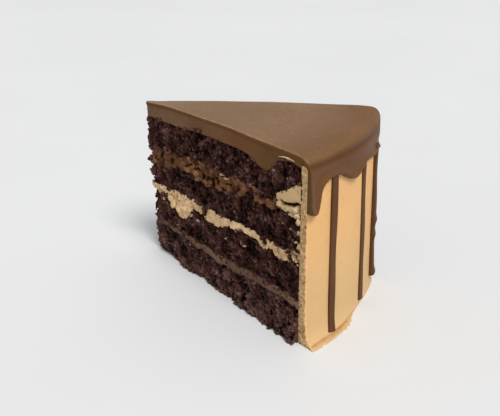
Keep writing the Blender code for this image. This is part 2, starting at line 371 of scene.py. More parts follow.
class Nodes:
    """Adds nodes to a tree and links them, so that building a tree reads like a formula."""

    def __init__(self, tree: NodeTree) -> None:
        """Keeps the tree that the nodes go in."""
        self.tree = tree

    def feed(self, socket: NodeSocket, value: Any) -> None:
        """Links an output to a socket, or sets a plain value on it.

        Args:
            socket: The input.
            value: A wire, an output, or a number, vector, colour or name.
        """
        value = value.socket if isinstance(value, Wire) else value
        if isinstance(value, NodeSocket):
            self.tree.links.new(value, socket)
        else:
            socket.default_value = value

    def add(self, kind: str, feeds: dict, **settings: Any) -> Node:
        """Adds a node.

        Args:
            kind: Its type.
            feeds: What its inputs get, by name or number.
            settings: Its properties.

        Returns:
            The node.
        """
        node = self.tree.nodes.new(kind)
        for key, value in settings.items():
            setattr(node, key, value)
        for key, value in feeds.items():
            self.feed(node.inputs[key], value)
        return node

    def make(self, kind: str, feeds: dict | None = None, output: int | str = 0, **settings: Any) -> Wire:
        """Adds a node and returns one of its outputs, given by name or number."""
        return Wire(self, self.add(kind, feeds or {}, **settings).outputs[output])

    def math(self, operation: str, *values: Any, clamp: bool = False) -> Wire:
        """Adds an operation on numbers."""
        return self.make("ShaderNodeMath", dict(enumerate(values)), operation=operation, use_clamp=clamp)

    def vector(self, operation: str, *values: Any, output: str = "Vector") -> Wire:
        """Adds an operation on vectors."""
        return self.make("ShaderNodeVectorMath", dict(enumerate(values)), output, operation=operation)

    def scaled(self, vector: Any, factor: Any) -> Wire:
        """Multiplies a vector by a number."""
        return self.make("ShaderNodeVectorMath", {0: vector, "Scale": factor}, operation="SCALE")

    def noise(self, vector: Any, scale: Any, detail: float = 2.0, roughness: float = 0.5, turn: Any = None,
              output: int = 0) -> Wire:
        """Adds a cloudy noise.

        Args:
            vector: Where it is read.
            scale: How many clouds a metre.
            detail: How many finer layers it has.
            roughness: How strong those are.
            turn: Which noise this is, as a place on its fourth axis, or None for the plain one.
            output: 0 for its value, 1 for its colour.

        Returns:
            The value or the colour.
        """
        feeds = {"Vector": vector, "Scale": scale, "Detail": detail, "Roughness": roughness}
        if turn is None:
            return self.make("ShaderNodeTexNoise", feeds, output, noise_dimensions="3D")
        return self.make("ShaderNodeTexNoise", {**feeds, "W": turn}, output, noise_dimensions="4D")

    def shift(self, amount: Any, *place: Any) -> Wire:
        """Gives a random shift of about half an amount to each side; place is what noise() takes."""
        colour = self.noise(*place, output=1)
        return self.scaled(self.vector("SUBTRACT", colour, (0.5, 0.5, 0.5)), amount)

    def cells(self, vector: Any, scale: Any, smoothness: float | None = None) -> tuple[Wire, list[Wire]]:
        """Adds a cell pattern.

        Args:
            vector: Where it is read.
            scale: How many cells a metre.
            smoothness: How far the cells run into one another, or None for plain cells.

        Returns:
            The distance from the cell's middle, and three random numbers for the cell.
        """
        feeds = {"Vector": vector, "Scale": scale}
        if smoothness is None:
            node = self.add("ShaderNodeTexVoronoi", feeds)
        else:
            node = self.add("ShaderNodeTexVoronoi", {**feeds, "Smoothness": smoothness}, feature="SMOOTH_F1")
        return Wire(self, node.outputs["Distance"]), self.parts(node.outputs["Color"])

    def parts(self, colour: Any) -> list[Wire]:
        """Splits a colour or a place into its three numbers."""
        kind = "ShaderNodeSeparateColor" if self.tree.type == "SHADER" else "FunctionNodeSeparateColor"
        return [Wire(self, output) for output in list(self.add(kind, {0: colour}).outputs)[:3]]

    def mix(self, share: Any, first: Any, second: Any) -> Wire:
        """Mixes two colours.

        Args:
            share: How much of the second, 0 to 1.
            first: A wire, or three numbers.
            second: The same.

        Returns:
            The mixed colour.
        """
        feeds = {0: share}
        for number, value in ((6, first), (7, second)):
            feeds[number] = (*value, 1.0) if isinstance(value, tuple) else value
        return self.make("ShaderNodeMix", feeds, 2, data_type="RGBA")

    def attribute(self, name: str) -> Wire:
        """Reads a number kept on the mesh's points.

        Args:
            name: The number's name.

        Returns:
            The number.
        """
        if self.tree.type == "SHADER":
            return self.make("ShaderNodeAttribute", {}, "Fac", attribute_name=name)
        return self.make("GeometryNodeInputNamedAttribute", {"Name": name}, "Attribute", data_type="FLOAT")


class Group(Nodes):
    """A node group being built, with its inputs as wires by name."""

    SOCKETS = {float: "NodeSocketFloat", int: "NodeSocketInt", tuple: "NodeSocketVector"}

    def __init__(self, name: str, kind: str, inputs: dict, outputs: Sequence[str] = ()) -> None:
        """Starts the group.

        Args:
            name: The group's name.
            kind: Geometry or Shader. A geometry group also has the sockets Geometry and Material.
            inputs: The default of each input, by name.
            outputs: Names of the numbers that it gives.
        """
        tree = bpy.data.node_groups.new(name, kind + "NodeTree")
        shape = [("Geometry", "NodeSocketGeometry")] if kind == "Geometry" else []
        dress = [("Material", "NodeSocketMaterial")] if kind == "Geometry" else []
        numbers = [(label, self.SOCKETS[type(default)]) for label, default in inputs.items()]
        for label, socket_kind in shape + numbers + dress:
            socket = tree.interface.new_socket(label, in_out="INPUT", socket_type=socket_kind)
            if label in inputs:
                socket.default_value = inputs[label]
        for label, socket_kind in shape + [(label, self.SOCKETS[float]) for label in outputs]:
            tree.interface.new_socket(label, in_out="OUTPUT", socket_type=socket_kind)
        super().__init__(tree)
        self.get = {socket.name: Wire(self, socket) for socket in self.add("NodeGroupInput", {}).outputs}

    def give(self, **values: Any) -> NodeTree:
        """Ends the group with its outputs' values, and returns it."""
        self.add("NodeGroupOutput", values)
        return self.tree

    def keep(self, shape: Any, name: str, value: Any) -> Wire:
        """Keeps a number on a mesh's points and returns the mesh."""
        feeds = {"Geometry": shape, "Name": name, "Value": value}
        return self.make("GeometryNodeStoreNamedAttribute", feeds, data_type="FLOAT", domain="POINT")

    def close(self, shape: Wire) -> NodeTree:
        """Ends a geometry group in Realize Instances and Set Material.

        Args:
            shape: The geometry.

        Returns:
            The group.
        """
        real = self.make("GeometryNodeRealizeInstances", {"Geometry": shape})
        dressed = self.make("GeometryNodeSetMaterial", {"Geometry": real, "Material": self.get["Material"]})
        return self.give(Geometry=dressed)


def run_tree(piece: Object, tree: NodeTree, **values: Any) -> None:
    """Runs a geometry tree on a piece and keeps the result as its plain mesh, with no modifier.

    Args:
        piece: The object to change.
        tree: The geometry node tree.
        values: Values for the tree's inputs, with _ for each space in an input's name.
    """
    modifier = piece.modifiers.new(tree.name, "NODES")
    modifier.node_group = tree
    for item in tree.interface.items_tree:
        key = item.name.replace(" ", "_")
        if item.item_type == "SOCKET" and item.in_out == "INPUT" and key in values:
            modifier[item.identifier] = values[key]
    bpy.context.view_layer.update()
    evaluated = piece.evaluated_get(bpy.context.evaluated_depsgraph_get())
    mesh = bpy.data.meshes.new_from_object(evaluated)
    piece.modifiers.remove(modifier)
    old = piece.data
    piece.data = mesh
    mesh.name = piece.name
    bpy.data.meshes.remove(old)


def relief_tree() -> NodeTree:
    """Builds the tree that gives a smooth cut face shallow grains, pores and lumps.

    Returns:
        The tree. It moves points by their "cut" attribute and stores the relief as "relief".
    """
    nodes = Group("shallow_relief", "Geometry", {
        "Lump Size": 7.0 * MM, "Lump Height": 0.8 * MM, "Grain Size": 1.8 * MM, "Grain Height": 0.6 * MM,
        "Pore Size": 3.0 * MM, "Pore Depth": 1.0 * MM, "Jitter": 0.35 * MM, "Seed": 0.0})
    get = nodes.get
    place, normal = nodes.make("GeometryNodeInputPosition"), nodes.make("GeometryNodeInputNormal")
    cut, seed = nodes.attribute("cut"), get["Seed"]
    lump = (nodes.noise(place, 1.0 / get["Lump Size"], 2.0, 0.5, seed) - 0.5) * (get["Lump Height"] * 2.0)
    bend = nodes.shift(get["Grain Size"] * 1.1, place, 0.7 / get["Grain Size"], 2.0, 0.6, seed)
    warped = nodes.vector("ADD", place, bend)
    grain = nodes.cells(warped, 1.0 / get["Grain Size"], 0.35)[0].ramp(0.1, 0.75, 1.0, -0.6, soft=False)
    fine = nodes.cells(warped, 2.3 / get["Grain Size"])[0].ramp(0.1, 0.8, 0.35, -0.25, soft=False)
    hole, part = nodes.cells(warped, 1.0 / get["Pore Size"])
    reach = part[0] * 0.42
    pore = hole.ramp(reach * 0.35, reach, 1.0, 0.0) * part[1].ramp(0.3, 0.6) * get["Pore Depth"]
    height = lump + (grain + fine) * get["Grain Height"] - pore
    shake = nodes.shift(get["Jitter"] * 2.0, place, 1.3 / get["Grain Size"], 3.0, 0.7, seed + 3.1)
    moved = nodes.vector("ADD", nodes.scaled(normal, height * cut), nodes.scaled(shake, cut))
    kept = nodes.keep(get["Geometry"], "relief", height / get["Grain Height"])
    return nodes.close(nodes.make("GeometryNodeSetPosition", {"Geometry": kept, "Offset": moved}))


def crumb_tree() -> NodeTree:
    """Builds the tree that turns a smooth closed layer into a body with torn, open cut faces.

    The layer's signed depth is read at every point of a fine grid. Lumps, grains and pores are
    added to it where the layer's "cut" attribute is 1, and the surface is drawn where the sum is
    zero, so that grains overhang and pores run under them. Loose islands are dropped, and the
    pores fade out towards the thin tip.

    Returns:
        The tree. The result's "relief" attribute is how far a point stands proud, in millimetres.
    """
    smallest_island = 160
    tip_start, tip_end = 3.0 * MM, 11.0 * MM
    level = 1.0
    nodes = Group("open_crumb", "Geometry", {
        "Voxel": 0.5 * MM, "Sink": 0.2 * MM, "Lump Size": 9.0 * MM, "Lump Height": 1.0 * MM,
        "Grain Size": 2.6 * MM, "Grain Height": 1.0 * MM, "Fine Size": 1.2 * MM, "Fine Height": 0.5 * MM,
        "Pore Size": 4.5 * MM, "Pore Depth": 1.6 * MM, "Pore Share": 0.5, "Shift": (0.0, 0.0, 0.0),
        "Low": (0.0, 0.0, 0.0), "High": (0.0, 0.0, 0.0)})
    get = nodes.get
    base = get["Geometry"]
    spot = nodes.make("GeometryNodeInputPosition")
    marked = nodes.scaled(nodes.make("GeometryNodeInputNormal"), nodes.attribute("cut") + 1.0)

    def depth_and_cut() -> tuple[Wire, Wire]:
        """Reads the signed depth in the layer, and the nearest "cut" as what a normal is longer than 1."""
        near = nodes.add("GeometryNodeProximity", {"Geometry": base}, target_element="FACES")
        facing = nodes.make("GeometryNodeSampleNearestSurface", {"Mesh": base, "Value": marked}, "Value",
                            data_type="FLOAT_VECTOR")
        inwards = nodes.vector("SUBTRACT", near.outputs["Position"], spot)
        away = nodes.vector("DOT_PRODUCT", inwards, facing, output="Value")
        length = nodes.vector("LENGTH", facing, output="Value")
        depth = nodes.math("SIGN", away) * near.outputs["Distance"]
        return depth, nodes.math("SUBTRACT", length, 1.0, clamp=True)

    place = nodes.vector("ADD", spot, get["Shift"])
    lump = (nodes.noise(place, 1.0 / get["Lump Size"], 1.0) - 0.5) * 3.0 * get["Lump Height"]
    bend = nodes.shift(get["Grain Size"] * 0.8, place, 0.8 / get["Grain Size"], 1.0, 0.6)
    warped = nodes.vector("ADD", place, bend)
    grain = nodes.cells(warped, 1.0 / get["Grain Size"])[0].ramp(0.1, 0.8, 1.0, -1.0, soft=False)
    fine = nodes.cells(warped, 1.0 / get["Fine Size"])[0].ramp(0.1, 0.9, 1.0, -1.0, soft=False)
    hole, part = nodes.cells(warped, 1.0 / get["Pore Size"])
    reach = part[0].ramp(0.0, 1.0, 0.15, 0.5, soft=False)
    pore = hole.ramp(reach * 0.4, reach, 1.0, 0.0) * (part[1] < get["Pore Share"]) * get["Pore Depth"]
    pore = pore * nodes.parts(spot)[0].ramp(tip_start, tip_end, 0.1, 1.0)
    height = lump + grain * get["Grain Height"] + fine * get["Fine Height"] - pore - get["Sink"]
    depth, cut = depth_and_cut()
    steps = nodes.scaled(nodes.vector("SUBTRACT", get["High"], get["Low"]), 1.0 / get["Voxel"])
    counts = nodes.add("ShaderNodeSeparateXYZ", {0: steps}).outputs
    cube = nodes.make("GeometryNodeVolumeCube", {
        "Density": (depth + height * cut) / MM + level, "Background": 0.0, "Min": get["Low"],
        "Max": get["High"], **{f"Resolution {axis}": counts[axis] for axis in "XYZ"}})
    skin = nodes.make("GeometryNodeVolumeToMesh", {"Volume": cube, "Threshold": level},
                      resolution_mode="GRID")
    island = nodes.make("GeometryNodeInputMeshIsland", output="Island Index")
    members = nodes.make("GeometryNodeAccumulateField", {"Value": 1, "Group ID": island}, "Total",
                         data_type="INT", domain="POINT")
    small = nodes.make("FunctionNodeCompare", {2: members, 3: smallest_island}, data_type="INT",
                       operation="LESS_THAN")
    shape = nodes.make("GeometryNodeDeleteGeometry", {"Geometry": skin, "Selection": small}, domain="POINT")
    final_depth, final_cut = depth_and_cut()
    shape = nodes.keep(nodes.keep(shape, "relief", final_depth / -MM), "cut", final_cut)
    return nodes.close(nodes.make("GeometryNodeSetShadeSmooth", {"Geometry": shape}))


def scatter_tree() -> NodeTree:
    """Builds the tree that strews small uneven bits over the cut faces of a host mesh.

    Returns:
        The tree. Bits fall by the host's "cut" attribute and come out as one joined mesh.
    """
    lowest = 0.9 * MM
    flatness, roughness = 0.8, 0.6
    full_turn = 6.28
    nodes = Group("strewn_bits", "Geometry", {
        "Density": 1.0e5, "Patch Size": 8.0 * MM, "Patchiness": 0.5, "Smallest": 0.3 * MM,
        "Largest": 1.0 * MM, "Seed": 1})
    get = nodes.get
    place = nodes.make("GeometryNodeInputPosition")
    low = get["Patchiness"] * 0.6
    patch = nodes.noise(place, 1.0 / get["Patch Size"], 2.0, 0.5, get["Seed"]).ramp(low, low + 0.15)
    patch = patch * (nodes.parts(place)[2] > lowest)
    spots = nodes.make("GeometryNodeDistributePointsOnFaces", {
        "Mesh": get["Geometry"], "Density": patch * nodes.attribute("cut") * get["Density"],
        "Seed": get["Seed"]})
    ball = nodes.make("GeometryNodeMeshIcoSphere", {"Radius": 0.5, "Subdivisions": 1})
    size = nodes.make("FunctionNodeRandomValue", {2: 0.0, 3: 1.0, "Seed": get["Seed"]}, 1, data_type="FLOAT")
    length = get["Smallest"] + nodes.math("POWER", size, 2.2) * (get["Largest"] - get["Smallest"])
    shape, turn = (nodes.make("FunctionNodeRandomValue", feeds, data_type="FLOAT_VECTOR") for feeds in (
        {0: (0.65,) * 3, 1: (1.25,) * 3}, {1: (full_turn,) * 3, "Seed": 7}))
    stretched = nodes.vector("MULTIPLY", shape, (1.0, 1.0, flatness))
    lay = nodes.make("GeometryNodeInstanceOnPoints", {
        "Points": spots, "Instance": ball, "Rotation": turn, "Scale": nodes.scaled(stretched, length)})
    real = nodes.make("GeometryNodeRealizeInstances", {"Geometry": lay})
    rough = nodes.noise(nodes.make("GeometryNodeInputPosition"), 1.3 / get["Largest"], 2.0, 0.6, 4.0) - 0.5
    moved = nodes.scaled(nodes.make("GeometryNodeInputNormal"), rough * (get["Largest"] * roughness))
    return nodes.close(nodes.make("GeometryNodeSetPosition", {"Geometry": real, "Offset": moved}))


# ---- shared shader effects


class Effects:
    """The shared shader groups, each built once."""

    def __init__(self) -> None:
        """Builds the groups."""
        self.mottle = self.build_mottle()
        self.pits = self.build_pits()

    def build_mottle(self) -> NodeTree:
        """Builds the group for cloudy differences in tone, coarse and fine.

        Returns:
            The group.
        """
        nodes = Group("mottle", "Shader", {"Vector": (0.0, 0.0, 0.0), "Coarse": 80.0, "Fine": 900.0},
                      ("Coarse", "Fine"))
        get = nodes.get
        coarse = nodes.noise(get["Vector"], get["Coarse"], 3.0, 0.55, 0.0)
        fine = nodes.noise(get["Vector"], get["Fine"], 4.0, 0.7, 0.0)
        return nodes.give(Coarse=coarse.ramp(0.3, 0.7), Fine=fine.ramp(0.3, 0.7))

    def build_pits(self) -> NodeTree:
        """Builds the group for a mask of small scattered pits.

        Returns:
            The group.
        """
        nodes = Group("pits", "Shader", {
            "Vector": (0.0, 0.0, 0.0), "Scale": 500.0, "Share": 0.4, "Reach": 0.3}, ("Mask",))
        get = nodes.get
        bend = nodes.shift(1.2 / get["Scale"], get["Vector"], get["Scale"] * 0.6, 2.0, 0.5, 1.7)
        hole, part = nodes.cells(nodes.vector("ADD", get["Vector"], bend), get["Scale"])
        reach = part[1] * get["Reach"]
        return nodes.give(Mask=hole.ramp(reach * 0.4, reach, 1.0, 0.0) * (part[0] < get["Share"]))


class Surface(Nodes):
    """A material being built: its nodes, its Principled shader and its place on the object."""

    def __init__(self, name: str, effects: Effects) -> None:
        """Starts the material, with the shared effects at hand."""
        self.material = bpy.data.materials.new(name)
        self.material.use_nodes = True
        super().__init__(self.material.node_tree)
        self.effects = effects
        self.shader = self.tree.nodes["Principled BSDF"]
        self.place = self.make("ShaderNodeTexCoord", output="Object")

    def group(self, tree: NodeTree, **values: float) -> list[Wire]:
        """Adds a shared effect on object coordinates, and returns its outputs."""
        node = self.add("ShaderNodeGroup", {"Vector": self.place, **values}, node_tree=tree)
        return [Wire(self, output) for output in node.outputs]

    def tones(self, coarse: float, fine: float) -> list[Wire]:
        """Gives a coarse and a fine cloudiness, by clouds a metre."""
        return self.group(self.effects.mottle, Coarse=coarse, Fine=fine)

    def pits(self, scale: float, share: float, reach: float) -> Wire:
        """Gives a mask of pits by how many cells a metre, their share and how far they reach."""
        return self.group(self.effects.pits, Scale=scale, Share=share, Reach=reach)[0]

    def axis(self, number: int) -> Wire:
        """Gives the object coordinate along one axis."""
        return self.make("ShaderNodeSeparateXYZ", {0: self.place}, number)

    def streaks(self, stretch: float, *noise: float) -> Wire:
        """Gives a noise that is squeezed upright, so that it lies in level streaks."""
        return self.noise(self.vector("MULTIPLY", self.place, (1.0, 1.0, stretch)), *noise)

    def finish(self, specular: float, bump: tuple, **values: Any) -> Material:
        """Sets the shader's inputs and the bump.

        Args:
            specular: The shader's specular level.
            bump: The height, 0 to 1, the depth in metres that it stands for, and its strength.
            values: The shader's other inputs, with _ for each space in a name.

        Returns:
            The finished material.
        """
        height, depth, strength = bump
        normal = self.make("ShaderNodeBump", {"Strength": strength, "Distance": depth, "Height": height})
        values = {"Specular IOR Level": specular, "Normal": normal, **values}
        for key, value in values.items():
            self.feed(self.shader.inputs[key.replace("_", " ")], value)
        return self.material


# ---- finishes


@dataclass(frozen=True)
class SpongeFinish:
    """Nearly black, moist chocolate crumb: painted shade darkens its pores, painted highlight makes its
    grains paler and redder.
    """

    # pore: painted shade, the tone that sunk crumb takes on.
    pore: Colour = (0.0026, 0.0002, 0.0002)
    crumb: Colour = (0.053, 0.0145, 0.0100)
    warm: Colour = (0.115, 0.040, 0.029)
    # grain: painted highlight, the paler tone of proud grains.
    grain: Colour = (0.42, 0.27, 0.225)
    # speck: painted glints on proud crumb.
    speck: Colour = (0.46, 0.36, 0.30)
    # low: painted bounce light, a paler tone towards the floor.
    low: Colour = (0.20, 0.105, 0.085)
    low_reach: float = 30.0 * MM

    def make(self, effects: Effects) -> Material:
        """Builds the material.

        Args:
            effects: The shared shader groups.

        Returns:
            The material.
        """
        surface = Surface("sponge", effects)
        coarse, fine = surface.tones(170.0, 1300.0)
        specks = surface.pits(420.0, 0.22, 0.42)
        relief = surface.attribute("relief")
        base = surface.mix(coarse, self.crumb, self.warm)
        # Painted bounce light: the crumb turns paler towards the floor.
        base = surface.mix(surface.axis(2).ramp(0.0, self.low_reach, 0.42, 0.0), base, self.low)
        # Painted shade: sunk crumb turns to the pore tone.
        base = surface.mix((relief + (fine - 0.5) * 1.6).ramp(-1.3, 0.2, 1.0, 0.0), base, self.pore)
        # Painted highlight: proud grains turn paler.
        base = surface.mix(relief.ramp(-0.3, 1.5) * fine.ramp(0.35, 0.85), base, self.grain)
        # Painted glints: pale specks on proud crumb.
        base = surface.mix(specks * relief.ramp(-0.8, 0.8) * 0.8, base, self.speck)
        return surface.finish(0.08, (fine, 0.5 * MM, 1.0), Base_Color=base,
                              Roughness=fine.ramp(0.0, 1.0, 0.7, 0.38))


@dataclass(frozen=True)
class GanacheFinish:
    """Brown ganache as the knife leaves it: faint smears and a dull sheen.

    Attributes:
        sheen: The specular level.
        rimward: Tone that it takes on towards the rim, if any.
        notch: Tone round the notch, from notch_start to notch_end along the slice.
    """

    name: str
    dark: Colour
    light: Colour
    roughness: float = 0.5
    smear: float = 0.08 * MM
    sheen: float = 0.15
    rimward: Colour = ()
    notch: Colour = (0.118, 0.053, 0.008)
    notch_start: tuple[float, float] = (20.0 * MM, 31.0 * MM)
    notch_end: tuple[float, float] = (33.0 * MM, 44.0 * MM)
    rimward_reach: tuple[float, float] = (-60.0 * MM, 20.0 * MM)
    # Painted shade: the tone that sunk parts and cracks take on, if any.
    painted_crevice_shade: Colour = ()

    def make(self, effects: Effects) -> Material:
        """Builds the material.

        Args:
            effects: The shared shader groups.

        Returns:
            The material.
        """
        surface = Surface(self.name, effects)
        coarse, fine = surface.tones(70.0, 1200.0)
        streak = surface.streaks(6.0, 260.0, 3.0, 0.6, 5.0)
        base = surface.mix(coarse * 0.7 + streak.ramp(0.35, 0.7) * 0.3, self.dark, self.light)
        if self.rimward:
            along = surface.axis(0)
            rimward, started, ended = (along.ramp(*ends, 0.0, 0.85) for ends in (
                self.rimward_reach, self.notch_start, self.notch_end))
            base = surface.mix(rimward, base, self.rimward)
            base = surface.mix(started - ended, base, self.notch)
        # Painted shade: sunk parts, and cracks where cut is low, turn to the crevice tone.
        if self.painted_crevice_shade:
            sunk = surface.attribute("relief") + (fine - 0.5) * 1.4
            base = surface.mix(sunk.ramp(-1.9, -0.1, 0.95, 0.0), base, self.painted_crevice_shade)
            base = surface.mix(surface.attribute("cut").ramp(0.25, 0.7, 1.0, 0.0), base, self.painted_crevice_shade)
        rough = streak.ramp(0.3, 0.7, self.roughness - 0.1, self.roughness + 0.12)
        return surface.finish(self.sheen, (streak * 0.7 + fine * 0.3, self.smear, 0.8), Base_Color=base,
                              Roughness=rough)


@dataclass(frozen=True)
class CreamFinish:
    """Buttercream: matte, with fine air pits and cloudy tone.

    Attributes:
        pit_share: Share of the cells that are pits.
        torn: Whether it reads the relief of a torn cut, to paint shade on its sunk parts and in its cracks.
        coat: Whether it is the coat, with its torn strips at the cuts, its stains and a foot made darker and
            greyer by painted shade with bounce light from the floor.
        low: Painted shade with bounce light from the floor: the duller tone that the coat takes on towards
            its foot, from low_top to low_end.
    """

    name: str
    base: Colour
    # deep: the darker tone of its clouds and scratches, also used as painted shade in its pits and sunk torn
    # parts.
    deep: Colour
    pit_share: float = 0.35
    torn: bool = True
    coat: bool = False
    pit_scale: float = 700.0
    pit_depth: float = 0.25 * MM
    # How much painted shade darkens the small air pits.
    pit_painted_shade: float = 0.5
    roughness: float = 0.62
    # crack: painted shade, near black, in the cracks.
    crack: Colour = (0.012, 0.006, 0.004)
    strip: Colour = (0.68, 0.45, 0.215)
    # Painted shade: the tone that sunk parts of the torn strips take on.
    strip_painted_shade: Colour = (0.34, 0.19, 0.08)
    stain: Colour = (0.33, 0.13, 0.03)
    # low: painted shade with bounce light from the floor, near the coat's foot.
    low: Colour = (0.60, 0.405, 0.20)
    low_end: float = 5.0 * MM
    low_top: float = 70.0 * MM

    def make(self, effects: Effects) -> Material:
        """Builds the material.

        Args:
            effects: The shared shader groups.

        Returns:
            The material.
        """
        surface = Surface(self.name, effects)
        coarse, fine = surface.tones(60.0, 1300.0)
        pits = surface.pits(self.pit_scale, self.pit_share, 0.45)
        base = surface.mix(coarse * 0.45 + fine * 0.25, self.base, self.deep)
        # Painted shade in the small air pits.
        base = surface.mix(pits * self.pit_painted_shade, base, self.deep)
        cut, relief = surface.attribute("cut"), surface.attribute("relief")
        if self.torn:
            # Painted shade: sunk parts of the torn cut turn to the deep tone.
            base = surface.mix(relief.ramp(-1.3, 0.1, 0.75, 0.0), base, self.deep)
            # Painted shade: cracks, where cut is low, turn near black.
            base = surface.mix(cut.ramp(0.25, 0.7, 1.0, 0.0), base, self.crack)
        if self.coat:
            # Painted shade with bounce light from the floor: the coat turns duller and greyer towards its
            # foot.
            fall = surface.axis(2).ramp(self.low_end, self.low_top, 0.75, 0.0) + coarse * 0.2
            base = surface.mix(fall, base, self.low)
            scratch = surface.streaks(9.0, 330.0, 3.0, 0.7, 2.0)
            base = surface.mix(scratch.ramp(0.42, 0.75, 0.0, 0.3), base, self.deep)
            # Painted shade on the sunk parts of the torn strips.
            strip = surface.mix(relief.ramp(-1.6, 1.2, 1.0, 0.0), self.strip, self.strip_painted_shade)
            base = surface.mix(cut.ramp(0.3, 0.9), base, strip)
            base = surface.mix(surface.attribute("stain"), base, self.stain)
            base = surface.mix(surface.attribute("ridge") * 0.6, base, self.base)
        return surface.finish(
            0.25, (fine * 0.35 - pits, self.pit_depth, 0.8), Base_Color=base,
            Roughness=fine.ramp(0.0, 1.0, self.roughness - 0.08, self.roughness + 0.1),
            Subsurface_Weight=0.12, Subsurface_Radius=(1.0, 0.5, 0.25), Subsurface_Scale=1.5 * MM)


@dataclass(frozen=True)
class GlazeFinish:
    """Poured milk-chocolate glaze: even, satin, with a few specks and burst bubbles.

    Attributes:
        streak: Tone of the pale fine clouds on the top.
        sliced: Tone of the sheet's cut edge on the top.
        painted_flank_shade: Painted shade on the cut flank of the drip, low on the skirt.
        flank_start: Heights between which the one goes over into the other.
    """

    light: Colour = (0.200, 0.109, 0.047)
    deep: Colour = (0.176, 0.093, 0.038)
    streak: Colour = (0.270, 0.158, 0.078)
    # Painted highlight along the cut edges of the top.
    painted_edge_highlight: Colour = (0.36, 0.205, 0.105)
    # Painted shade: a darker, shaded copy of the top's tone for the skirt and rim sides.
    painted_shade_side: Colour = (0.138, 0.057, 0.018)
    painted_shade_side_deep: Colour = (0.116, 0.045, 0.013)
    # fold: painted shade in the crease.
    fold: Colour = (0.075, 0.027, 0.008)
    sliced: Colour = (0.128, 0.050, 0.010)
    # Painted shade on the drip's cut flank.
    painted_flank_shade: Colour = (0.118, 0.060, 0.021)
    flank_start: tuple[float, float] = (80.0 * MM, 88.0 * MM)
    speck: Colour = (0.4, 0.28, 0.18)
    roughness: float = 0.36

    def make(self, effects: Effects) -> Material:
        """Builds the material.

        Args:
            effects: The shared shader groups.

        Returns:
            The material.
        """
        surface = Surface("glaze", effects)
        coarse, fine = surface.tones(28.0, 700.0)
        specks = surface.pits(260.0, 0.06, 0.3)
        side, sliced = surface.attribute("side"), surface.attribute("sliced")
        base = surface.mix(coarse, self.light, self.deep)
        base = surface.mix(fine.ramp(0.4, 0.7, 0.0, 0.4), base, self.streak)
        # Painted shade: the skirt and rim sides take the darker, shaded tone.
        base = surface.mix(side, base, surface.mix(coarse, self.painted_shade_side, self.painted_shade_side_deep))
        # Painted highlight along the cut edges of the top.
        base = surface.mix(surface.attribute("ridge") * fine.ramp(0.3, 0.6, 0.25, 0.9), base, self.painted_edge_highlight)
        # Painted shade in the crease below the rim's rounding.
        base = surface.mix(surface.attribute("fold"), base, self.fold)
        # Painted shade on the drip's cut flank below flank_start; higher up the cut edge keeps the sliced
        # tone.
        edge = surface.mix(surface.axis(2).ramp(*self.flank_start, 1.0, 0.0), self.sliced, self.painted_flank_shade)
        base = surface.mix(sliced, base, edge)
        base = surface.mix(specks * 0.25, base, self.speck)
        rough = coarse.ramp(0.0, 1.0, self.roughness, self.roughness + 0.08) + (sliced * 0.45 + side * 0.12)
        return surface.finish(0.2, (fine * 0.15 - specks, 0.12 * MM, 0.6), Base_Color=base, Roughness=rough)


@dataclass(frozen=True)
class FloorFinish:
    """Plain pale floor."""

    colour: Colour = (0.73, 0.735, 0.745)

    def make(self, effects: Effects) -> Material:
        """Builds the material.

        Args:
            effects: The shared shader groups.

        Returns:
            The material.
        """
        surface = Surface("floor", effects)
        coarse, fine = surface.tones(3.0, 200.0)
        base = surface.mix(coarse, self.colour, tuple(0.97 * part for part in self.colour))
        for key, value in (("Base Color", base), ("Roughness", fine.ramp(0.0, 1.0, 0.5, 0.6))):
            surface.feed(surface.shader.inputs[key], value)
        return surface.material


# ---- layers that show at the cuts


@dataclass(frozen=True)
class Slump:
    """How the foot of both cut faces leans out, and how far in the tip's edge lies.

    Attributes:
        tip_line: The tip's edge from the floor up, as heights and shifts in mm.
    """

    reach: float = 5.0 * MM
    height: float = 16.0 * MM
    rim: float = 127.0 * MM
    tip_fade: float = 8.0 * MM
    tip_line: tuple = (
        (0.0, 3.5), (3.6, 2.4), (9.0, 1.6), (15.1, -1.2), (19.6, 3.0), (23.1, -0.2), (26.7, 3.2),
        (30.2, -0.8), (34.7, 6.6), (37.5, 6.2), (41.3, -0.2), (44.5, 0.2), (47.1, 3.0), (50.2, -1.4),
        (53.4, 3.2), (56.2, -0.4), (59.7, -1.2), (62.3, 2.2), (64.5, -0.6), (71.3, -0.5), (78.0, 0.4),
        (84.0, 0.0), (95.0, 0.0),
    )

    def tip_shift(self, radius: Numbers, height: Numbers) -> np.ndarray:
        """Gives how far in the tip's edge lies at a height, less and less away from the tip."""
        heights, shifts = MM * np.transpose(self.tip_line)
        return np.interp(height, heights, shifts) * np.exp(-np.asarray(radius) / self.tip_fade)

    def out(self, radius: Numbers, height: Numbers) -> np.ndarray:
        """Gives the lean at a radius and a height."""
        low = np.clip(1.0 - np.asarray(height) / self.height, 0.0, 1.0)
        return self.reach * low * low * np.asarray(radius) / self.rim


@dataclass(frozen=True)
class Setting:
    """What every layer is fitted to: the slice's coordinates, its packed layers and the lean of its foot."""

    wedge: Wedge
    reader: LayerReader
    slump: Slump


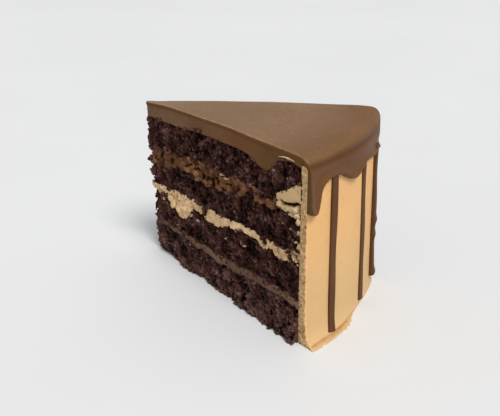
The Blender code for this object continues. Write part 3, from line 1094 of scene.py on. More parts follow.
@dataclass
class CutLayer:
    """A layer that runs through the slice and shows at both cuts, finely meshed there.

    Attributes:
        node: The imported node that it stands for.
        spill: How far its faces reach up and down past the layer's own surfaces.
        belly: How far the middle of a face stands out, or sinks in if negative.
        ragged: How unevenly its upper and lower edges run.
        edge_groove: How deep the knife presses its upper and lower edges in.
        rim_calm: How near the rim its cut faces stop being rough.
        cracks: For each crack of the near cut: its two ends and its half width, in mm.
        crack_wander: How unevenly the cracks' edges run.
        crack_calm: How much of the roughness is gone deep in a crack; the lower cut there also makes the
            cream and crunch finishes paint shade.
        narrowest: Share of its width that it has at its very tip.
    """

    name: str
    node: str
    slot: str = "sponge"
    tip: float = 0.0
    rim: float = 127.2 * MM
    spacing: float = 1.0 * MM
    rows: int = 20
    spill: float = 0.0
    belly: float = 0.0
    sunk: float = 0.0
    ragged: float = 0.3 * MM
    edge_groove: float = 0.0
    seed: int = 1
    nose: float = 1.4 * MM
    hidden_rows: int = 3
    rim_calm: float = 1.5 * MM
    cracks: tuple = ()
    crack_depth: float = 3.4 * MM
    lumps: float = 0.45 * MM
    lump_length: float = 22.0 * MM
    crack_wander: float = 0.3 * MM
    ragged_length: float = 5.0 * MM
    crack_calm: float = 0.85
    narrowest: float = 0.12

    def radii(self) -> np.ndarray:
        """Gives the radius of each ring, closer together round the nose."""
        turns = np.linspace(self.narrowest, 1.0, 7)[:-1] * math.pi / 2
        nose = self.tip + self.nose * (1.0 - np.cos(turns))
        count = int((self.rim - self.tip - self.nose) / self.spacing)
        return np.concatenate([nose, np.linspace(self.tip + self.nose, self.rim, count)])

    def crack(self, radius: np.ndarray, height: np.ndarray) -> np.ndarray:
        """Gives how deep in a crack points of the near cut lie.

        Args:
            radius: Radii of the points.
            height: Their heights.

        Returns:
            For each point 0 outside and 1 in the middle of a crack.
        """
        deep = np.zeros(radius.shape)
        for start, end, half_width in self.cracks:
            start, end = MM * np.array(start), MM * np.array(end)
            along = end - start
            spot = np.stack([radius, height], axis=-1) - start
            share = np.clip(spot @ along / (along @ along), 0.0, 1.0)
            away = np.linalg.norm(spot - share[..., None] * along, axis=-1)
            wander = waves(np.stack([radius, height, radius - height], axis=-1), 1.7 * MM, 45)
            away = away + self.crack_wander * wander
            deep = np.maximum(deep, np.exp(-((away / (half_width * MM)) ** 4)))
        return deep

    def face_out(self, radius: np.ndarray, height: np.ndarray, share: np.ndarray, side: Side,
                 at: Setting) -> np.ndarray:
        """Gives how far the cut face stands out of its plane.

        Args:
            radius: Radii of the points.
            height: Their heights.
            share: Their share of the way up the layer.
            side: Which cut face this is.
            at: What the layer is fitted to.

        Returns:
            One distance for each point.
        """
        points = at.wedge.place(radius, side.value, height)
        lumps = self.lumps * waves(points, self.lump_length, 11 + int(side.value))
        lumps = lumps * smooth_step(0.0, 10.0 * MM, radius)
        edge = np.minimum(share, 1.0 - share)
        groove = self.edge_groove * np.exp(-edge * 14.0)
        belly = self.belly * np.sin(math.pi * share)
        return at.slump.out(radius, height) + lumps + belly - self.sunk - groove

    def shape(self, at: Setting) -> Object:
        """Builds the layer as a closed stack of rings from tip to rim.

        Args:
            at: What the layer is fitted to.

        Returns:
            The object, with a "cut" attribute of 1 on its cut faces and 0 inside.
        """
        wedge, radii = at.wedge, self.radii()
        reach = int(1.2 * MM / self.spacing)
        shares = np.linspace(0.0, 1.0, self.rows)
        inner = np.linspace(0.0, 1.0, self.hidden_rows + 2)[1:-1]

        def level(across: float, upper: bool) -> np.ndarray:
            """Gives the heights of the ragged top or underside along the radii, above the floor."""
            low, high = (soften(at.reader.surface(self.node, radii, across, top), reach)
                         for top in (False, True))
            heights = low + (high - low) * float(upper)
            line = wedge.place(radii, across, heights)
            ragged = waves(line * (1.0, 1.0, 0.0), self.ragged_length, self.seed + (7 if upper else 0))
            spill = self.spill if upper else -self.spill
            return np.maximum(heights + self.ragged * ragged + spill, 0.0)

        def face(side: Side) -> tuple[np.ndarray, np.ndarray]:
            """Gives a cut face's points, and how deep in a crack each lies."""
            low, high = level(side.value, False), level(side.value, True)
            height = low[:, None] + (high - low)[:, None] * shares[None, :]
            radius = np.broadcast_to(radii[:, None], height.shape)
            share = np.broadcast_to(shares[None, :], height.shape)
            deep = self.crack(radius, height)
            out = self.face_out(radius, height, share, side, at) - self.crack_depth * deep
            return wedge.place(radius, side.value, height, out), deep

        def row(upper: bool) -> np.ndarray:
            """Gives the points across the hidden top or underside."""
            return np.stack([wedge.place(radii, across, level(across, upper)) for across in inner], axis=1)

        (near, near_deep), (far, far_deep) = face(Side.NEAR), face(Side.FAR)
        rings = np.concatenate([near, row(True), far[:, ::-1], row(False)[:, ::-1]], axis=1)
        narrow = np.sqrt(1.0 - (1.0 - np.clip((radii - self.tip) / self.nose, 0.0, 1.0)) ** 2)
        rings[:, :, 1] *= np.clip(narrow, self.narrowest, 1.0)[:, None]
        rings[:, :, 0] += at.slump.tip_shift(radii[:, None], rings[:, :, 2])
        cut = np.zeros(rings.shape[:2])
        cut[:, : self.rows] = 1.0 - self.crack_calm * near_deep
        far_start = self.rows + self.hidden_rows
        cut[:, far_start : far_start + self.rows] = 1.0 - self.crack_calm * far_deep[:, ::-1]
        cut *= smooth_step(0.0, self.rim_calm, self.rim - radii)[:, None]
        return closed_stack(self.name, rings, self.rim_patch(wedge, near[-1], far[-1], rings.shape), cut=cut)

    def rim_patch(self, wedge: Wedge, near: np.ndarray, far: np.ndarray, shape: tuple) -> tuple:
        """Closes the layer at the rim with a grid that follows its round wall.

        Args:
            wedge: The slice's coordinates.
            near: The last upright row of points on the near cut.
            far: The same on the far cut.
            shape: Shape of the stack of rings.

        Returns:
            The grid's own points, and its faces.
        """
        rows, columns = self.rows, self.hidden_rows + 2
        first = (shape[0] - 1) * shape[1]
        grid = np.full((rows, columns), -1)
        grid[:, 0] = first + np.arange(rows)
        grid[-1, 1:-1] = first + rows + np.arange(self.hidden_rows)
        grid[:, -1] = first + rows + self.hidden_rows + np.arange(rows)[::-1]
        grid[0, 1:-1] = first + 2 * rows + self.hidden_rows + np.arange(self.hidden_rows)[::-1]
        inside = [(row, column) for row in range(1, rows - 1) for column in range(1, columns - 1)]
        points = []
        for number, (row, column) in enumerate(inside):
            across = column / (columns - 1)
            grid[row, column] = shape[0] * shape[1] + number
            height = between((near[row, 2], far[row, 2]), across)
            points.append(wedge.place(self.rim, across, height))
        corners = np.stack([grid[:-1, :-1], grid[1:, :-1], grid[1:, 1:], grid[:-1, 1:]], axis=-1)
        return np.array(points), corners.reshape(-1, 4).tolist()


@dataclass
class TornLayer(CutLayer):
    """A layer whose cut faces are torn open by the knife.

    Attributes:
        relief: Sizes for the tree that opens the crumb, by input name.
        core_depth: How far inside the cut planes the core lies.
        core_tip: How far behind the layer's tip the core starts.
    """

    relief: dict[str, float] = field(default_factory=dict)
    voxel: float = 0.46 * MM
    margin: float = 3.2 * MM
    face_depth: float = 5.6 * MM
    core_depth: float = 3.8 * MM
    core_tip: float = 16.0 * MM
    core_spacing: float = 5.0 * MM
    core_rows: int = 4
    lowest: float = 0.1 * MM

    def build(self, at: Setting, tree: NodeTree, material: Material) -> Object:
        """Builds the layer and opens its cut faces.

        Args:
            at: What the layer is fitted to.
            tree: The tree that makes open crumb.
            material: The layer's finish.

        Returns:
            The finished piece.
        """
        faces = [self.open_face(side, at, tree, material) for side in Side]
        core = replace(self, tip=self.tip + self.core_tip, sunk=self.core_depth, spacing=self.core_spacing,
                       rows=self.core_rows, cracks=())
        core_piece = core.shape(at)
        core_piece.data.materials.append(material)
        piece = join([core_piece, *faces])
        piece.name = piece.data.name = self.name
        return finish_piece(piece, [self.node])

    def open_face(self, side: Side, at: Setting, tree: NodeTree, material: Material) -> Object:
        """Builds the torn slab at one cut face, in a frame turned so that the grid lies along the cut.

        Args:
            side: Which cut face.
            at: What the layer is fitted to.
            tree: The tree that makes open crumb.
            material: The layer's finish.

        Returns:
            The slab, back in its place.
        """
        piece = self.shape(at)
        outward = -1.0 if side is Side.NEAR else 1.0
        to_middle = Matrix.Translation((-at.wedge.centre_x, 0.0, 0.0))
        turned = Matrix.Rotation(-outward * at.wedge.half_angle, 4, "Z") @ to_middle
        piece.data.transform(turned)
        points = read_points(piece)
        low, high = points.min(axis=0) - self.margin, points.max(axis=0) + self.margin
        reach = outward * points[:, 1].max() if outward > 0 else points[:, 1].min()
        low[1], high[1] = sorted((reach + outward * self.margin, -outward * self.face_depth))
        low[2] = max(low[2], self.lowest)
        voxel = self.voxel * 1.0
        run_tree(piece, tree, Voxel=voxel, Shift=(0.1 * self.seed, 0.03 * outward, 0.0), Low=tuple(low),
                 High=tuple(high), Material=material, **self.relief)
        piece.data.transform(turned.inverted())
        return piece


@dataclass
class SmoothLayer(CutLayer):
    """A layer that the knife leaves almost smooth.

    Attributes:
        relief: Sizes for the tree that gives it a shallow relief, by input name.
    """

    relief: dict[str, float] = field(default_factory=dict)

    def build(self, at: Setting, tree: NodeTree, material: Material) -> Object:
        """Builds the layer and gives its cut faces a shallow relief.

        Args:
            at: What the layer is fitted to.
            tree: The tree that makes shallow relief.
            material: The layer's finish.

        Returns:
            The finished piece.
        """
        piece = self.shape(at)
        run_tree(piece, tree, Seed=float(self.seed), Material=material, **self.relief)
        return finish_piece(piece, [self.node])


@dataclass
class Crumbs:
    """Loose bits strewn over the cut faces of a finished layer."""

    name: str
    slot: str
    density: float
    smallest: float = 0.5 * MM
    largest: float = 1.6 * MM
    patchiness: float = 0.5
    patch: float = 8.0 * MM
    seed: int = 1

    def build(self, host: Object, tree: NodeTree, material: Material) -> Object:
        """Strews the bits.

        Args:
            host: The finished layer that they lie on.
            tree: The tree that strews bits.
            material: Their finish.

        Returns:
            The finished piece.
        """
        piece = add_object(self.name, host.data.copy())
        piece.data.materials.clear()
        run_tree(piece, tree, Density=self.density, Patch_Size=self.patch, Patchiness=self.patchiness,
                 Smallest=self.smallest, Largest=self.largest, Seed=self.seed, Material=material)
        return finish_piece(piece)


# ---- the rim and the top


class TopSurface:
    """The height of the glaze's flat top anywhere on the slice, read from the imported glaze."""

    LAST = 120.0 * MM  # the rim's rounding starts a little further out
    FIRST = 1.5 * MM
    COLUMNS = 9

    def __init__(self, reader: LayerReader) -> None:
        """Reads the top along some lines from tip to rim."""
        self.radii = np.linspace(self.FIRST, self.LAST, 80)
        self.shares = np.linspace(0.0, 1.0, self.COLUMNS)
        rows = [soften(reader.surface("glaze", self.radii, share, True), 3) for share in self.shares]
        self.heights = np.stack(rows)

    def at(self, radius: Numbers, across: Numbers) -> np.ndarray:
        """Gives the top's height, level past the last radius.

        Args:
            radius: Radii.
            across: Shares of the way across.

        Returns:
            The heights.
        """
        radius, across = np.broadcast_arrays(np.asarray(radius, float), np.asarray(across, float))
        rows = np.stack([np.interp(radius, self.radii, heights) for heights in self.heights])
        spot = np.clip(across, 0.0, 1.0) * (len(self.shares) - 1)
        below = np.minimum(spot.astype(int), len(self.shares) - 2)
        low = np.take_along_axis(rows, below[None], axis=0)[0]
        high = np.take_along_axis(rows, below[None] + 1, axis=0)[0]
        return low + (high - low) * (spot - below)


@dataclass
class Rim:
    """The shape of the coat, and of the glaze that rounds the rim over it.

    Attributes:
        lean: How far it leans in at the near cut, and how much further at the far cut, in mm.
        foot_soft: How far the foot spreads at the far cut, and how much further at the near cut, in mm.
        foot_corner: How much further it spreads right at the near cut.
        foot_lip: How far the foot's thin lip stands out.
        round_in: How far in the rounding of the rim reaches, at the near and at the far cut.
        round_down: How far down it reaches.
        crease: How far below the top the glaze folds in, at the near and at the far cut.
        squareness: How much fuller than an ellipse the rounding is at the far cut.
        edge_corners: The glaze's lower edge, as angles in degrees and heights in mm.
    """

    wedge: Wedge
    top: TopSurface
    coat: float = 131.2 * MM
    coat_back: float = 126.9 * MM
    stack: float = 95.0 * MM
    coat_wider: float = 2.1 * MM
    lean: tuple[float, float] = (0.6, 2.6)
    gap: float = 0.3 * MM
    skirt_thickness: float = 1.2 * MM
    glaze_thickness: float = 1.8 * MM
    foot_soft: tuple[float, float] = (0.3, 4.3)
    foot_fade: float = 3.6 * MM
    foot_corner: float = 1.3 * MM
    corner_fade: float = 7.0 * MM
    foot_lip: float = 1.4 * MM
    foot_end: float = -1.5
    drip_swell: tuple[float, float] = (2.2 * MM, 0.9 * MM)
    round_in: tuple[float, float] = (9.5 * MM, 8.0 * MM)
    round_down: tuple[float, float] = (4.5 * MM, 9.5 * MM)
    crease: tuple[float, float] = (3.6 * MM, 8.2 * MM)
    squareness: float = 0.4
    edge_corners: tuple = (
        (-17.0, 69.6), (-16.0, 68.2), (-15.3, 67.1), (-14.5, 66.5), (-13.7, 66.7), (-13.1, 68.0),
        (-12.95, 70.0), (-12.9, 73.0), (-12.7, 76.2), (-12.0, 78.7), (-10.4, 80.8), (-8.4, 81.2),
        (-6.5, 80.2), (-4.8, 77.9), (-3.0, 75.7), (-1.4, 74.7), (0.0, 74.9), (2.0, 76.9), (4.0, 78.3),
        (6.5, 78.0), (10.4, 76.9), (14.0, 77.6), (17.0, 76.0),
    )

    def __post_init__(self) -> None:
        """Draws the glaze's lower edge as a smooth line, by angle in degrees and height."""
        degrees, heights = np.transpose(self.edge_corners)
        self.line_degrees = np.linspace(degrees[0], degrees[-1], 341)
        self.line = soften(np.interp(self.line_degrees, degrees, MM * heights), 3)

    def radius(self, across: Numbers, height: Numbers) -> np.ndarray:
        """Gives the outside of the coat: it leans in a little, and its foot spreads in a thin lip.

        Args:
            across: Shares of the way across.
            height: Heights.

        Returns:
            The radii.
        """
        across, height = np.asarray(across, float), np.asarray(height, float)
        degrees = self.wedge.degrees(across)
        lean = (self.lean[0] + self.lean[1] * across) * MM * height / self.stack
        fade = self.lip_fade(degrees)
        low = np.maximum(height, 0.0)
        soft = self.foot_soft[0] + self.foot_soft[1] / (1.0 + np.exp((degrees - self.foot_end) / 2.0))
        soft = soft * MM * np.exp(-low / self.foot_fade)
        corner = self.foot_corner * np.exp(-(degrees + 16.0) / 3.0) * np.exp(-low / self.corner_fade)
        lip = self.foot_lip * fade * (1.0 - np.exp(-(degrees + 16.3) / 2.0))
        lip = lip * (1.0 - smooth_step(0.35 * MM, 0.85 * MM, height))
        return self.coat + self.coat_wider * across - lean + soft + corner + lip

    def lip_fade(self, degrees: Numbers) -> np.ndarray:
        """Gives how much of the foot's thin lip is left at an angle, 1 to 0."""
        return 1.0 / (1.0 + np.exp((degrees - self.foot_end) / 0.7))

    def edge(self, across: Numbers) -> np.ndarray:
        """Gives how low the glaze runs down the coat."""
        return np.interp(self.wedge.degrees(across), self.line_degrees, self.line)

    def proud(self, across: float, height: np.ndarray) -> np.ndarray:
        """Gives how thick the skirt is: rounded at its edge, with a bead along it, and swollen in the drips.

        Args:
            across: Share of the way across.
            height: Heights of the points.

        Returns:
            One thickness for each height.
        """
        degrees = float(self.wedge.degrees(across))
        sideways = np.radians(degrees - self.line_degrees) * self.coat
        away = np.hypot(sideways, height[:, None] - self.line).min(axis=1)
        bead = 0.75 * MM * hill(away, 1.6 * MM, 1.2 * MM) - 0.45 * MM * hill(away, 4.6 * MM, 2.2 * MM)
        swollen = 1.0 - smooth_step(72.0 * MM, 91.0 * MM, height)
        first = self.drip_swell[0] * hill(degrees, -16.0, 1.5) * swollen
        second = self.drip_swell[1] * hill(degrees, -1.2, 2.6) * hill(away, 0.0, 4.0 * MM)
        round_off = np.sqrt(1.0 - (1.0 - np.clip(away / (1.2 * MM), 0.0, 1.0)) ** 2)
        return (self.skirt_thickness + bead + first + second) * round_off

    def outline(self, across: float, inwards: float, down: float, steps: int) -> np.ndarray:
        """Gives the rounded rim from the flat top outwards, as radii and heights.

        Args:
            across: Share of the way across.
            inwards: How far inside the glaze's outer surface the line runs on the rim.
            down: How far below it the line runs on the top.
            steps: How many points the rounding has.

        Returns:
            An array of (radius, height) rows.
        """
        reach, drop = between(self.round_in, across), between(self.round_down, across)
        top = float(self.top.at(self.top.LAST, across)) - down
        outside = float(self.radius(across, top - drop)) + self.gap + self.skirt_thickness - inwards
        turn = np.linspace(0.0, math.pi / 2, steps)
        square = 1.0 - self.squareness * across**2
        out, up = np.sin(turn) ** square, np.cos(turn) ** square
        return np.stack([outside - reach + reach * out, top - drop + drop * up], axis=1)


@dataclass
class Glaze:
    """The poured glaze: a thin sheet over the top that rounds the rim and hangs down the coat in drips.

    Attributes:
        lip: How far its cut edges stand out of the cut faces.
        ridge: How wide the worn line along them is.
        swell: How far it bulges above the fold.
    """

    rim: Rim
    columns: int = 260
    tip: float = 1.6 * MM
    lip: float = 0.25 * MM
    # ridge: How wide the painted highlight line along them is.
    ridge: float = 0.55 * MM
    rounding: float = 0.8 * MM
    swell: float = 0.55 * MM
    fold: float = 0.6 * MM

    def section(self, across: float) -> tuple:
        """Gives the sheet's closed outline at a share of the way across.

        Args:
            across: Share of the way from the near cut to the far cut.

        Returns:
            The (radius, height) rows, and for each how far it is on the skirt and in the fold, 0 to 1,
            and whether it lies outside.
        """
        rim, wedge = self.rim, self.rim.wedge
        edge = float(rim.edge(across))
        outer_turn = rim.outline(across, 0.0, 0.0, 16)
        inner_turn = rim.outline(across, rim.skirt_thickness, rim.glaze_thickness, 9)
        flat = np.linspace(self.tip, outer_turn[0, 0], 90)[:-1]
        top = rim.top.at(flat, across)
        blend = smooth_step(rim.top.LAST - 25.0 * MM, rim.top.LAST, flat)
        top = top + (outer_turn[0, 1] - rim.top.at(flat[-1], across)) * blend
        outer_top = np.stack([flat, top], axis=1)
        inner_flat = np.linspace(self.tip, inner_turn[0, 0], 30)[:-1]
        inner_top = np.stack([inner_flat, rim.top.at(inner_flat, across) - rim.glaze_thickness], axis=1)
        hang = np.linspace(1.0, 0.0, 22)[1:]
        outer_height = edge + (outer_turn[-1, 1] - edge) * hang
        inner_height = edge + (inner_turn[-1, 1] - edge) * hang[::2]
        outer_radius = rim.radius(across, outer_height) + rim.gap + rim.proud(across, outer_height)
        outer_skirt = np.stack([outer_radius, outer_height], axis=1)
        inner_radius = rim.radius(across, inner_height) + 0.5 * rim.gap
        inner_skirt = np.stack([inner_radius, inner_height + 0.1 * MM * (hang[::2] < 0.05)], axis=1)
        outer = np.concatenate([outer_top, outer_turn, outer_skirt])
        fold_height = between(rim.crease, across)
        from_fold = outer[:, 1] - (outer_turn[0, 1] - fold_height)
        on_rim = smooth_step(rim.top.LAST, rim.top.LAST + 8.0 * MM, outer[:, 0])
        keep = smooth_step(0.0, 5.0 * MM, outer[:, 1] - edge)
        push = self.swell * hill(from_fold, -3.0 * MM, 2.2 * MM) - self.fold * hill(from_fold, 0.0, 1.1 * MM)
        outer[:, 0] += push * on_rim * keep * (1.0 - 0.85 * smooth_step(0.45, 0.95, across))
        outline = np.concatenate([outer, inner_skirt[::-1], inner_turn[::-1], inner_top[::-1]])
        below = outer_turn[0, 1] - outline[:, 1]
        past = outline[:, 0] - rim.top.LAST
        # side marks where the finish paints the darker, shaded tone of the skirt and rim sides.
        side = smooth_step(0.2 * MM, 0.9 * fold_height, below) * smooth_step(-6.0 * MM, 6.0 * MM, past)
        side = np.maximum(side, 0.5 * smooth_step(-28.0 * MM, 4.0 * MM, past))
        # fold marks where the finish paints shade in the crease.
        fold = 0.8 * hill(below - fold_height, 0.3 * MM, 1.1 * MM) * side
        shown = np.arange(len(outline)) < len(outer)
        return outline, side, fold, shown

    def build(self, material: Material) -> Object:
        """Builds the sheet, with its cut edges rounded and standing a little proud.

        Args:
            material: The glaze's finish.

        Returns:
            The finished piece.
        """
        wedge = self.rim.wedge
        turns = np.linspace(0.0, math.pi / 2, 6)[:-1]
        insets = self.rounding * (1.0 - np.sin(turns))
        outs = self.lip * np.cos(turns)
        rings, sides, folds, slices, ridges = [], [], [], [], []
        shares = np.linspace(0.0, 1.0, self.columns)
        stations = [(0.0, inset, out) for inset, out in zip(insets, outs)]
        stations += [(share, 0.0, 0.0) for share in shares]
        stations += [(1.0, inset, out) for inset, out in zip(insets[::-1], outs[::-1])]
        for across, inset, out in stations:
            outline, side, fold, shown = self.section(across)
            sides.append(side)
            folds.append(fold)
            # sliced marks the cut edges, where the finish paints shade on the drip's flank.
            slices.append(np.full(len(side), (out / self.lip) ** 2))
            from_cut = min(across, 1.0 - across) * 2.0 * wedge.half_angle * outline[:, 0]
            # ridge marks where the finish paints a highlight along the cut edges of the top.
            ridges.append(hill(from_cut, 0.0, self.ridge) * (1.0 - side))
            if inset > 0.0:
                along = np.roll(outline, -1, axis=0) - np.roll(outline, 1, axis=0)
                along /= np.linalg.norm(along, axis=1, keepdims=True)
                inward = np.stack([along[:, 1], -along[:, 0]], axis=1)
                outline = outline + inward * inset * shown[:, None]
            rings.append(wedge.place(outline[:, 0], across, outline[:, 1], out))
        rings = np.stack(rings)
        rings[..., 2] += 0.12 * MM * waves(rings * (1.0, 1.0, 0.0), 26.0 * MM, 51)
        piece = closed_stack("glaze_sheet", rings, side=np.stack(sides), fold=np.stack(folds),
                             sliced=np.stack(slices), ridge=np.stack(ridges))
        return finish_piece(piece, ["glaze"], material)


@dataclass
class Coat:
    """The buttercream on the rim, smooth outside and torn where it is cut.

    Attributes:
        foot_share: Share of its height that is meshed finely for the foot's lip.
    """

    rim: Rim
    spacing: float = 0.6 * MM
    strip_points: int = 14
    inner_points: int = 16
    arc: float = 74.0 * MM
    tall: float = 86.0 * MM
    foot_share: float = 0.036
    stain_height: float = 1.1 * MM
    lip_height: float = 0.85 * MM

    def build(self, tree: NodeTree, material: Material) -> Object:
        """Builds the coat as a stack of level rings from foot to top.

        Args:
            tree: The tree that makes shallow relief.
            material: The coat's finish.

        Returns:
            The finished piece.
        """
        rim, wedge = self.rim, self.rim.wedge
        arc = np.linspace(0.0, 1.0, int(self.arc / self.spacing))
        strip = np.linspace(0.0, 1.0, self.strip_points + 2)[1:-1]
        inner = np.linspace(1.0, 0.0, self.inner_points)
        across = np.concatenate([arc, np.ones_like(strip), inner, np.zeros_like(strip)])
        inward = np.concatenate([np.zeros_like(arc), strip, np.ones_like(inner), strip[::-1]])
        drop = between(rim.round_down, across)
        ceiling = rim.top.at(rim.top.LAST, across) - rim.glaze_thickness - 0.5 * drop
        rings, stains, ridges = [], [], []
        foot = np.linspace(0.0, self.foot_share, 22)[:-1]
        above = np.linspace(self.foot_share, 1.0, int(self.tall / self.spacing))
        fade = rim.lip_fade(wedge.degrees(across) - 1.5)
        for share in np.concatenate([foot, above]):
            height = share * ceiling
            outside = rim.radius(across, height)
            swell = waves(wedge.place(outside, across, height) * (1.0, 1.0, 0.35), 24.0 * MM, 61)
            outside = outside + 0.25 * MM * swell
            ragged = waves(wedge.place(outside, across, height), 2.6 * MM, 63)
            outside = outside + 0.4 * MM * ragged * fade * (height < self.lip_height)
            rings.append(wedge.place(outside + (rim.coat_back - outside) * inward, across, height))
            patchy = 0.7 + 0.3 * waves(rings[-1], 6.0 * MM, 62)
            stains.append(fade * patchy * hill(height, self.stain_height, 0.45 * MM) * (inward < 0.01))
            ridges.append(hill(inward, 0.0, 0.12) * ((across < 0.01) | (across > 0.99)))
        rings, stains, ridges = np.stack(rings), np.stack(stains), np.stack(ridges)
        on_strip = (inward > 0.001) & (inward < 0.999)
        cut = np.where(on_strip, 1.0, np.where(inward > 0.999, 0.0, 0.1))
        cut = np.ascontiguousarray(np.broadcast_to(cut, rings.shape[:2]))
        piece = closed_stack("coat_cream", rings, cut=cut, stain=stains, ridge=ridges)
        run_tree(piece, tree, Lump_Size=5.0 * MM, Lump_Height=0.4 * MM, Grain_Size=1.5 * MM,
                 Grain_Height=0.4 * MM, Pore_Size=2.2 * MM, Pore_Depth=0.9 * MM, Jitter=0.3 * MM,
                 Seed=21.0, Material=material)
        return finish_piece(piece, ["coat"])


@dataclass
class ChocolateLine:
    """One upright line of chocolate on the coat, running down from under the glaze.

    Attributes:
        slant: How much higher its end is at one edge than in the middle.
        bumps: Heights and sizes of its thicker spots, in mm.
        wander: How far it strays to each side, in degrees.
    """

    rim: Rim
    number: int
    at_top: float
    at_foot: float
    end: float
    slant: float
    width: float = 4.4 * MM
    thickness: float = 0.9 * MM
    bumps: tuple = ()
    spacing: float = 0.6 * MM
    around: int = 24
    above_edge: float = 4.0 * MM
    wander: float = 0.07

    def build(self, material: Material) -> Object:
        """Builds the line as a stack of low rounded sections.

        Args:
            material: The line's finish.

        Returns:
            The finished piece.
        """
        rim, wedge = self.rim, self.rim.wedge
        top = float(rim.edge(wedge.across(self.at_top))) + self.above_edge
        rise = top - self.end
        sideways, proud = rounded_box(self.around)
        phases = np.random.default_rng(70 + self.number).uniform(0.0, 2.0 * math.pi, 4)
        shares = np.concatenate([(0.0, 0.004, 0.009), np.linspace(0.014, 1.0, int(rise / self.spacing))])
        rings = []
        for share in shares:
            height = self.end + rise * share
            wander = self.wander * math.sin(height / (13.0 * MM) + phases[0])
            middle = self.at_foot + (self.at_top - self.at_foot) * share + wander
            here, above_foot = (rim.radius(wedge.across(middle), z) for z in (height, 12.0 * MM))
            middle -= math.degrees(0.95 * float(here - above_foot) / rim.coat)
            width = self.width * (1.0 + 0.04 * math.sin(height / (7.0 * MM) + phases[2]))
            blunt = math.sqrt(min(1.0, 0.25 + share / 0.012))
            thick = self.thickness * (1.0 + 0.12 * math.sin(height / (6.0 * MM) + phases[3])) * blunt
            for spot, size in self.bumps:
                thick += size * MM * float(hill(height / MM, spot, 2.2))
            across = wedge.across(middle + np.degrees(0.5 * width * sideways / rim.coat))
            level = height + self.slant * sideways * max(0.0, 1.0 - share / 0.1)
            base = rim.radius(across, np.maximum(level, 1.0 * MM))
            out = 0.1 * MM + 0.5 * thick * (1.0 + proud) - 0.4 * MM * (proud < 0)
            rings.append(wedge.place(base + out, across, level))
        piece = closed_stack(f"drawn_line_{self.number}", np.stack(rings))
        return finish_piece(piece, [f"chocolate_line_{self.number}"], material)


@dataclass
class Bits:
    """A few single bits of one stuff that sit on the near cut, each in its own place.

    Attributes:
        spots: For each bit, in mm: radius, height, half its length and height, and how far it stands out.
        swells: Strength and length of each size of unevenness.
        plump: How much thicker than round they are.
    """

    name: str
    slot: str
    seed: int
    spots: tuple
    along: int = 27
    around: int = 24
    swells: tuple = ((0.28, 1.6), (0.24, 0.75), (0.13, 0.38))
    plump: float = 1.1

    def build(self, at: Setting, material: Material) -> Object:
        """Builds the bits as uneven lumps.

        Args:
            at: What they are fitted to.
            material: Their finish.

        Returns:
            The finished piece.
        """
        lumps = []
        angle = np.linspace(0.0, math.pi, self.along + 2)[1:-1, None]
        turn = np.linspace(0.0, 2.0 * math.pi, self.around, endpoint=False)[None, :]
        unit = np.stack(np.broadcast_arrays(
            np.cos(angle), np.sin(angle) * np.cos(turn), np.sin(angle) * np.sin(turn)), axis=-1)
        for number, (radius, height, wide, tall, stands) in enumerate(self.spots):
            seed = self.seed + 10 * number
            swell = 1.0 + sum(share * waves(unit, length, seed) for share, length in self.swells)
            shape = unit * swell[..., None] * MM
            out = shape[..., 2] * self.plump + stands * MM
            out = out + at.slump.out(radius * MM, height * MM)
            points = at.wedge.place(radius * MM + wide * shape[..., 0], Side.NEAR.value,
                                    height * MM + tall * shape[..., 1], out)
            proud = np.clip(shape[..., 2] / MM, -1.0, 1.0)
            # The relief tells the finishes where to paint shade on the low side and highlight on the high
            # side.
            lumps.append(closed_stack(f"{self.name}_{number}", points, cut=np.ones_like(proud),
                                      relief=proud - 0.5))
        piece = join(lumps)
        piece.name = self.name
        return finish_piece(piece, material=material)


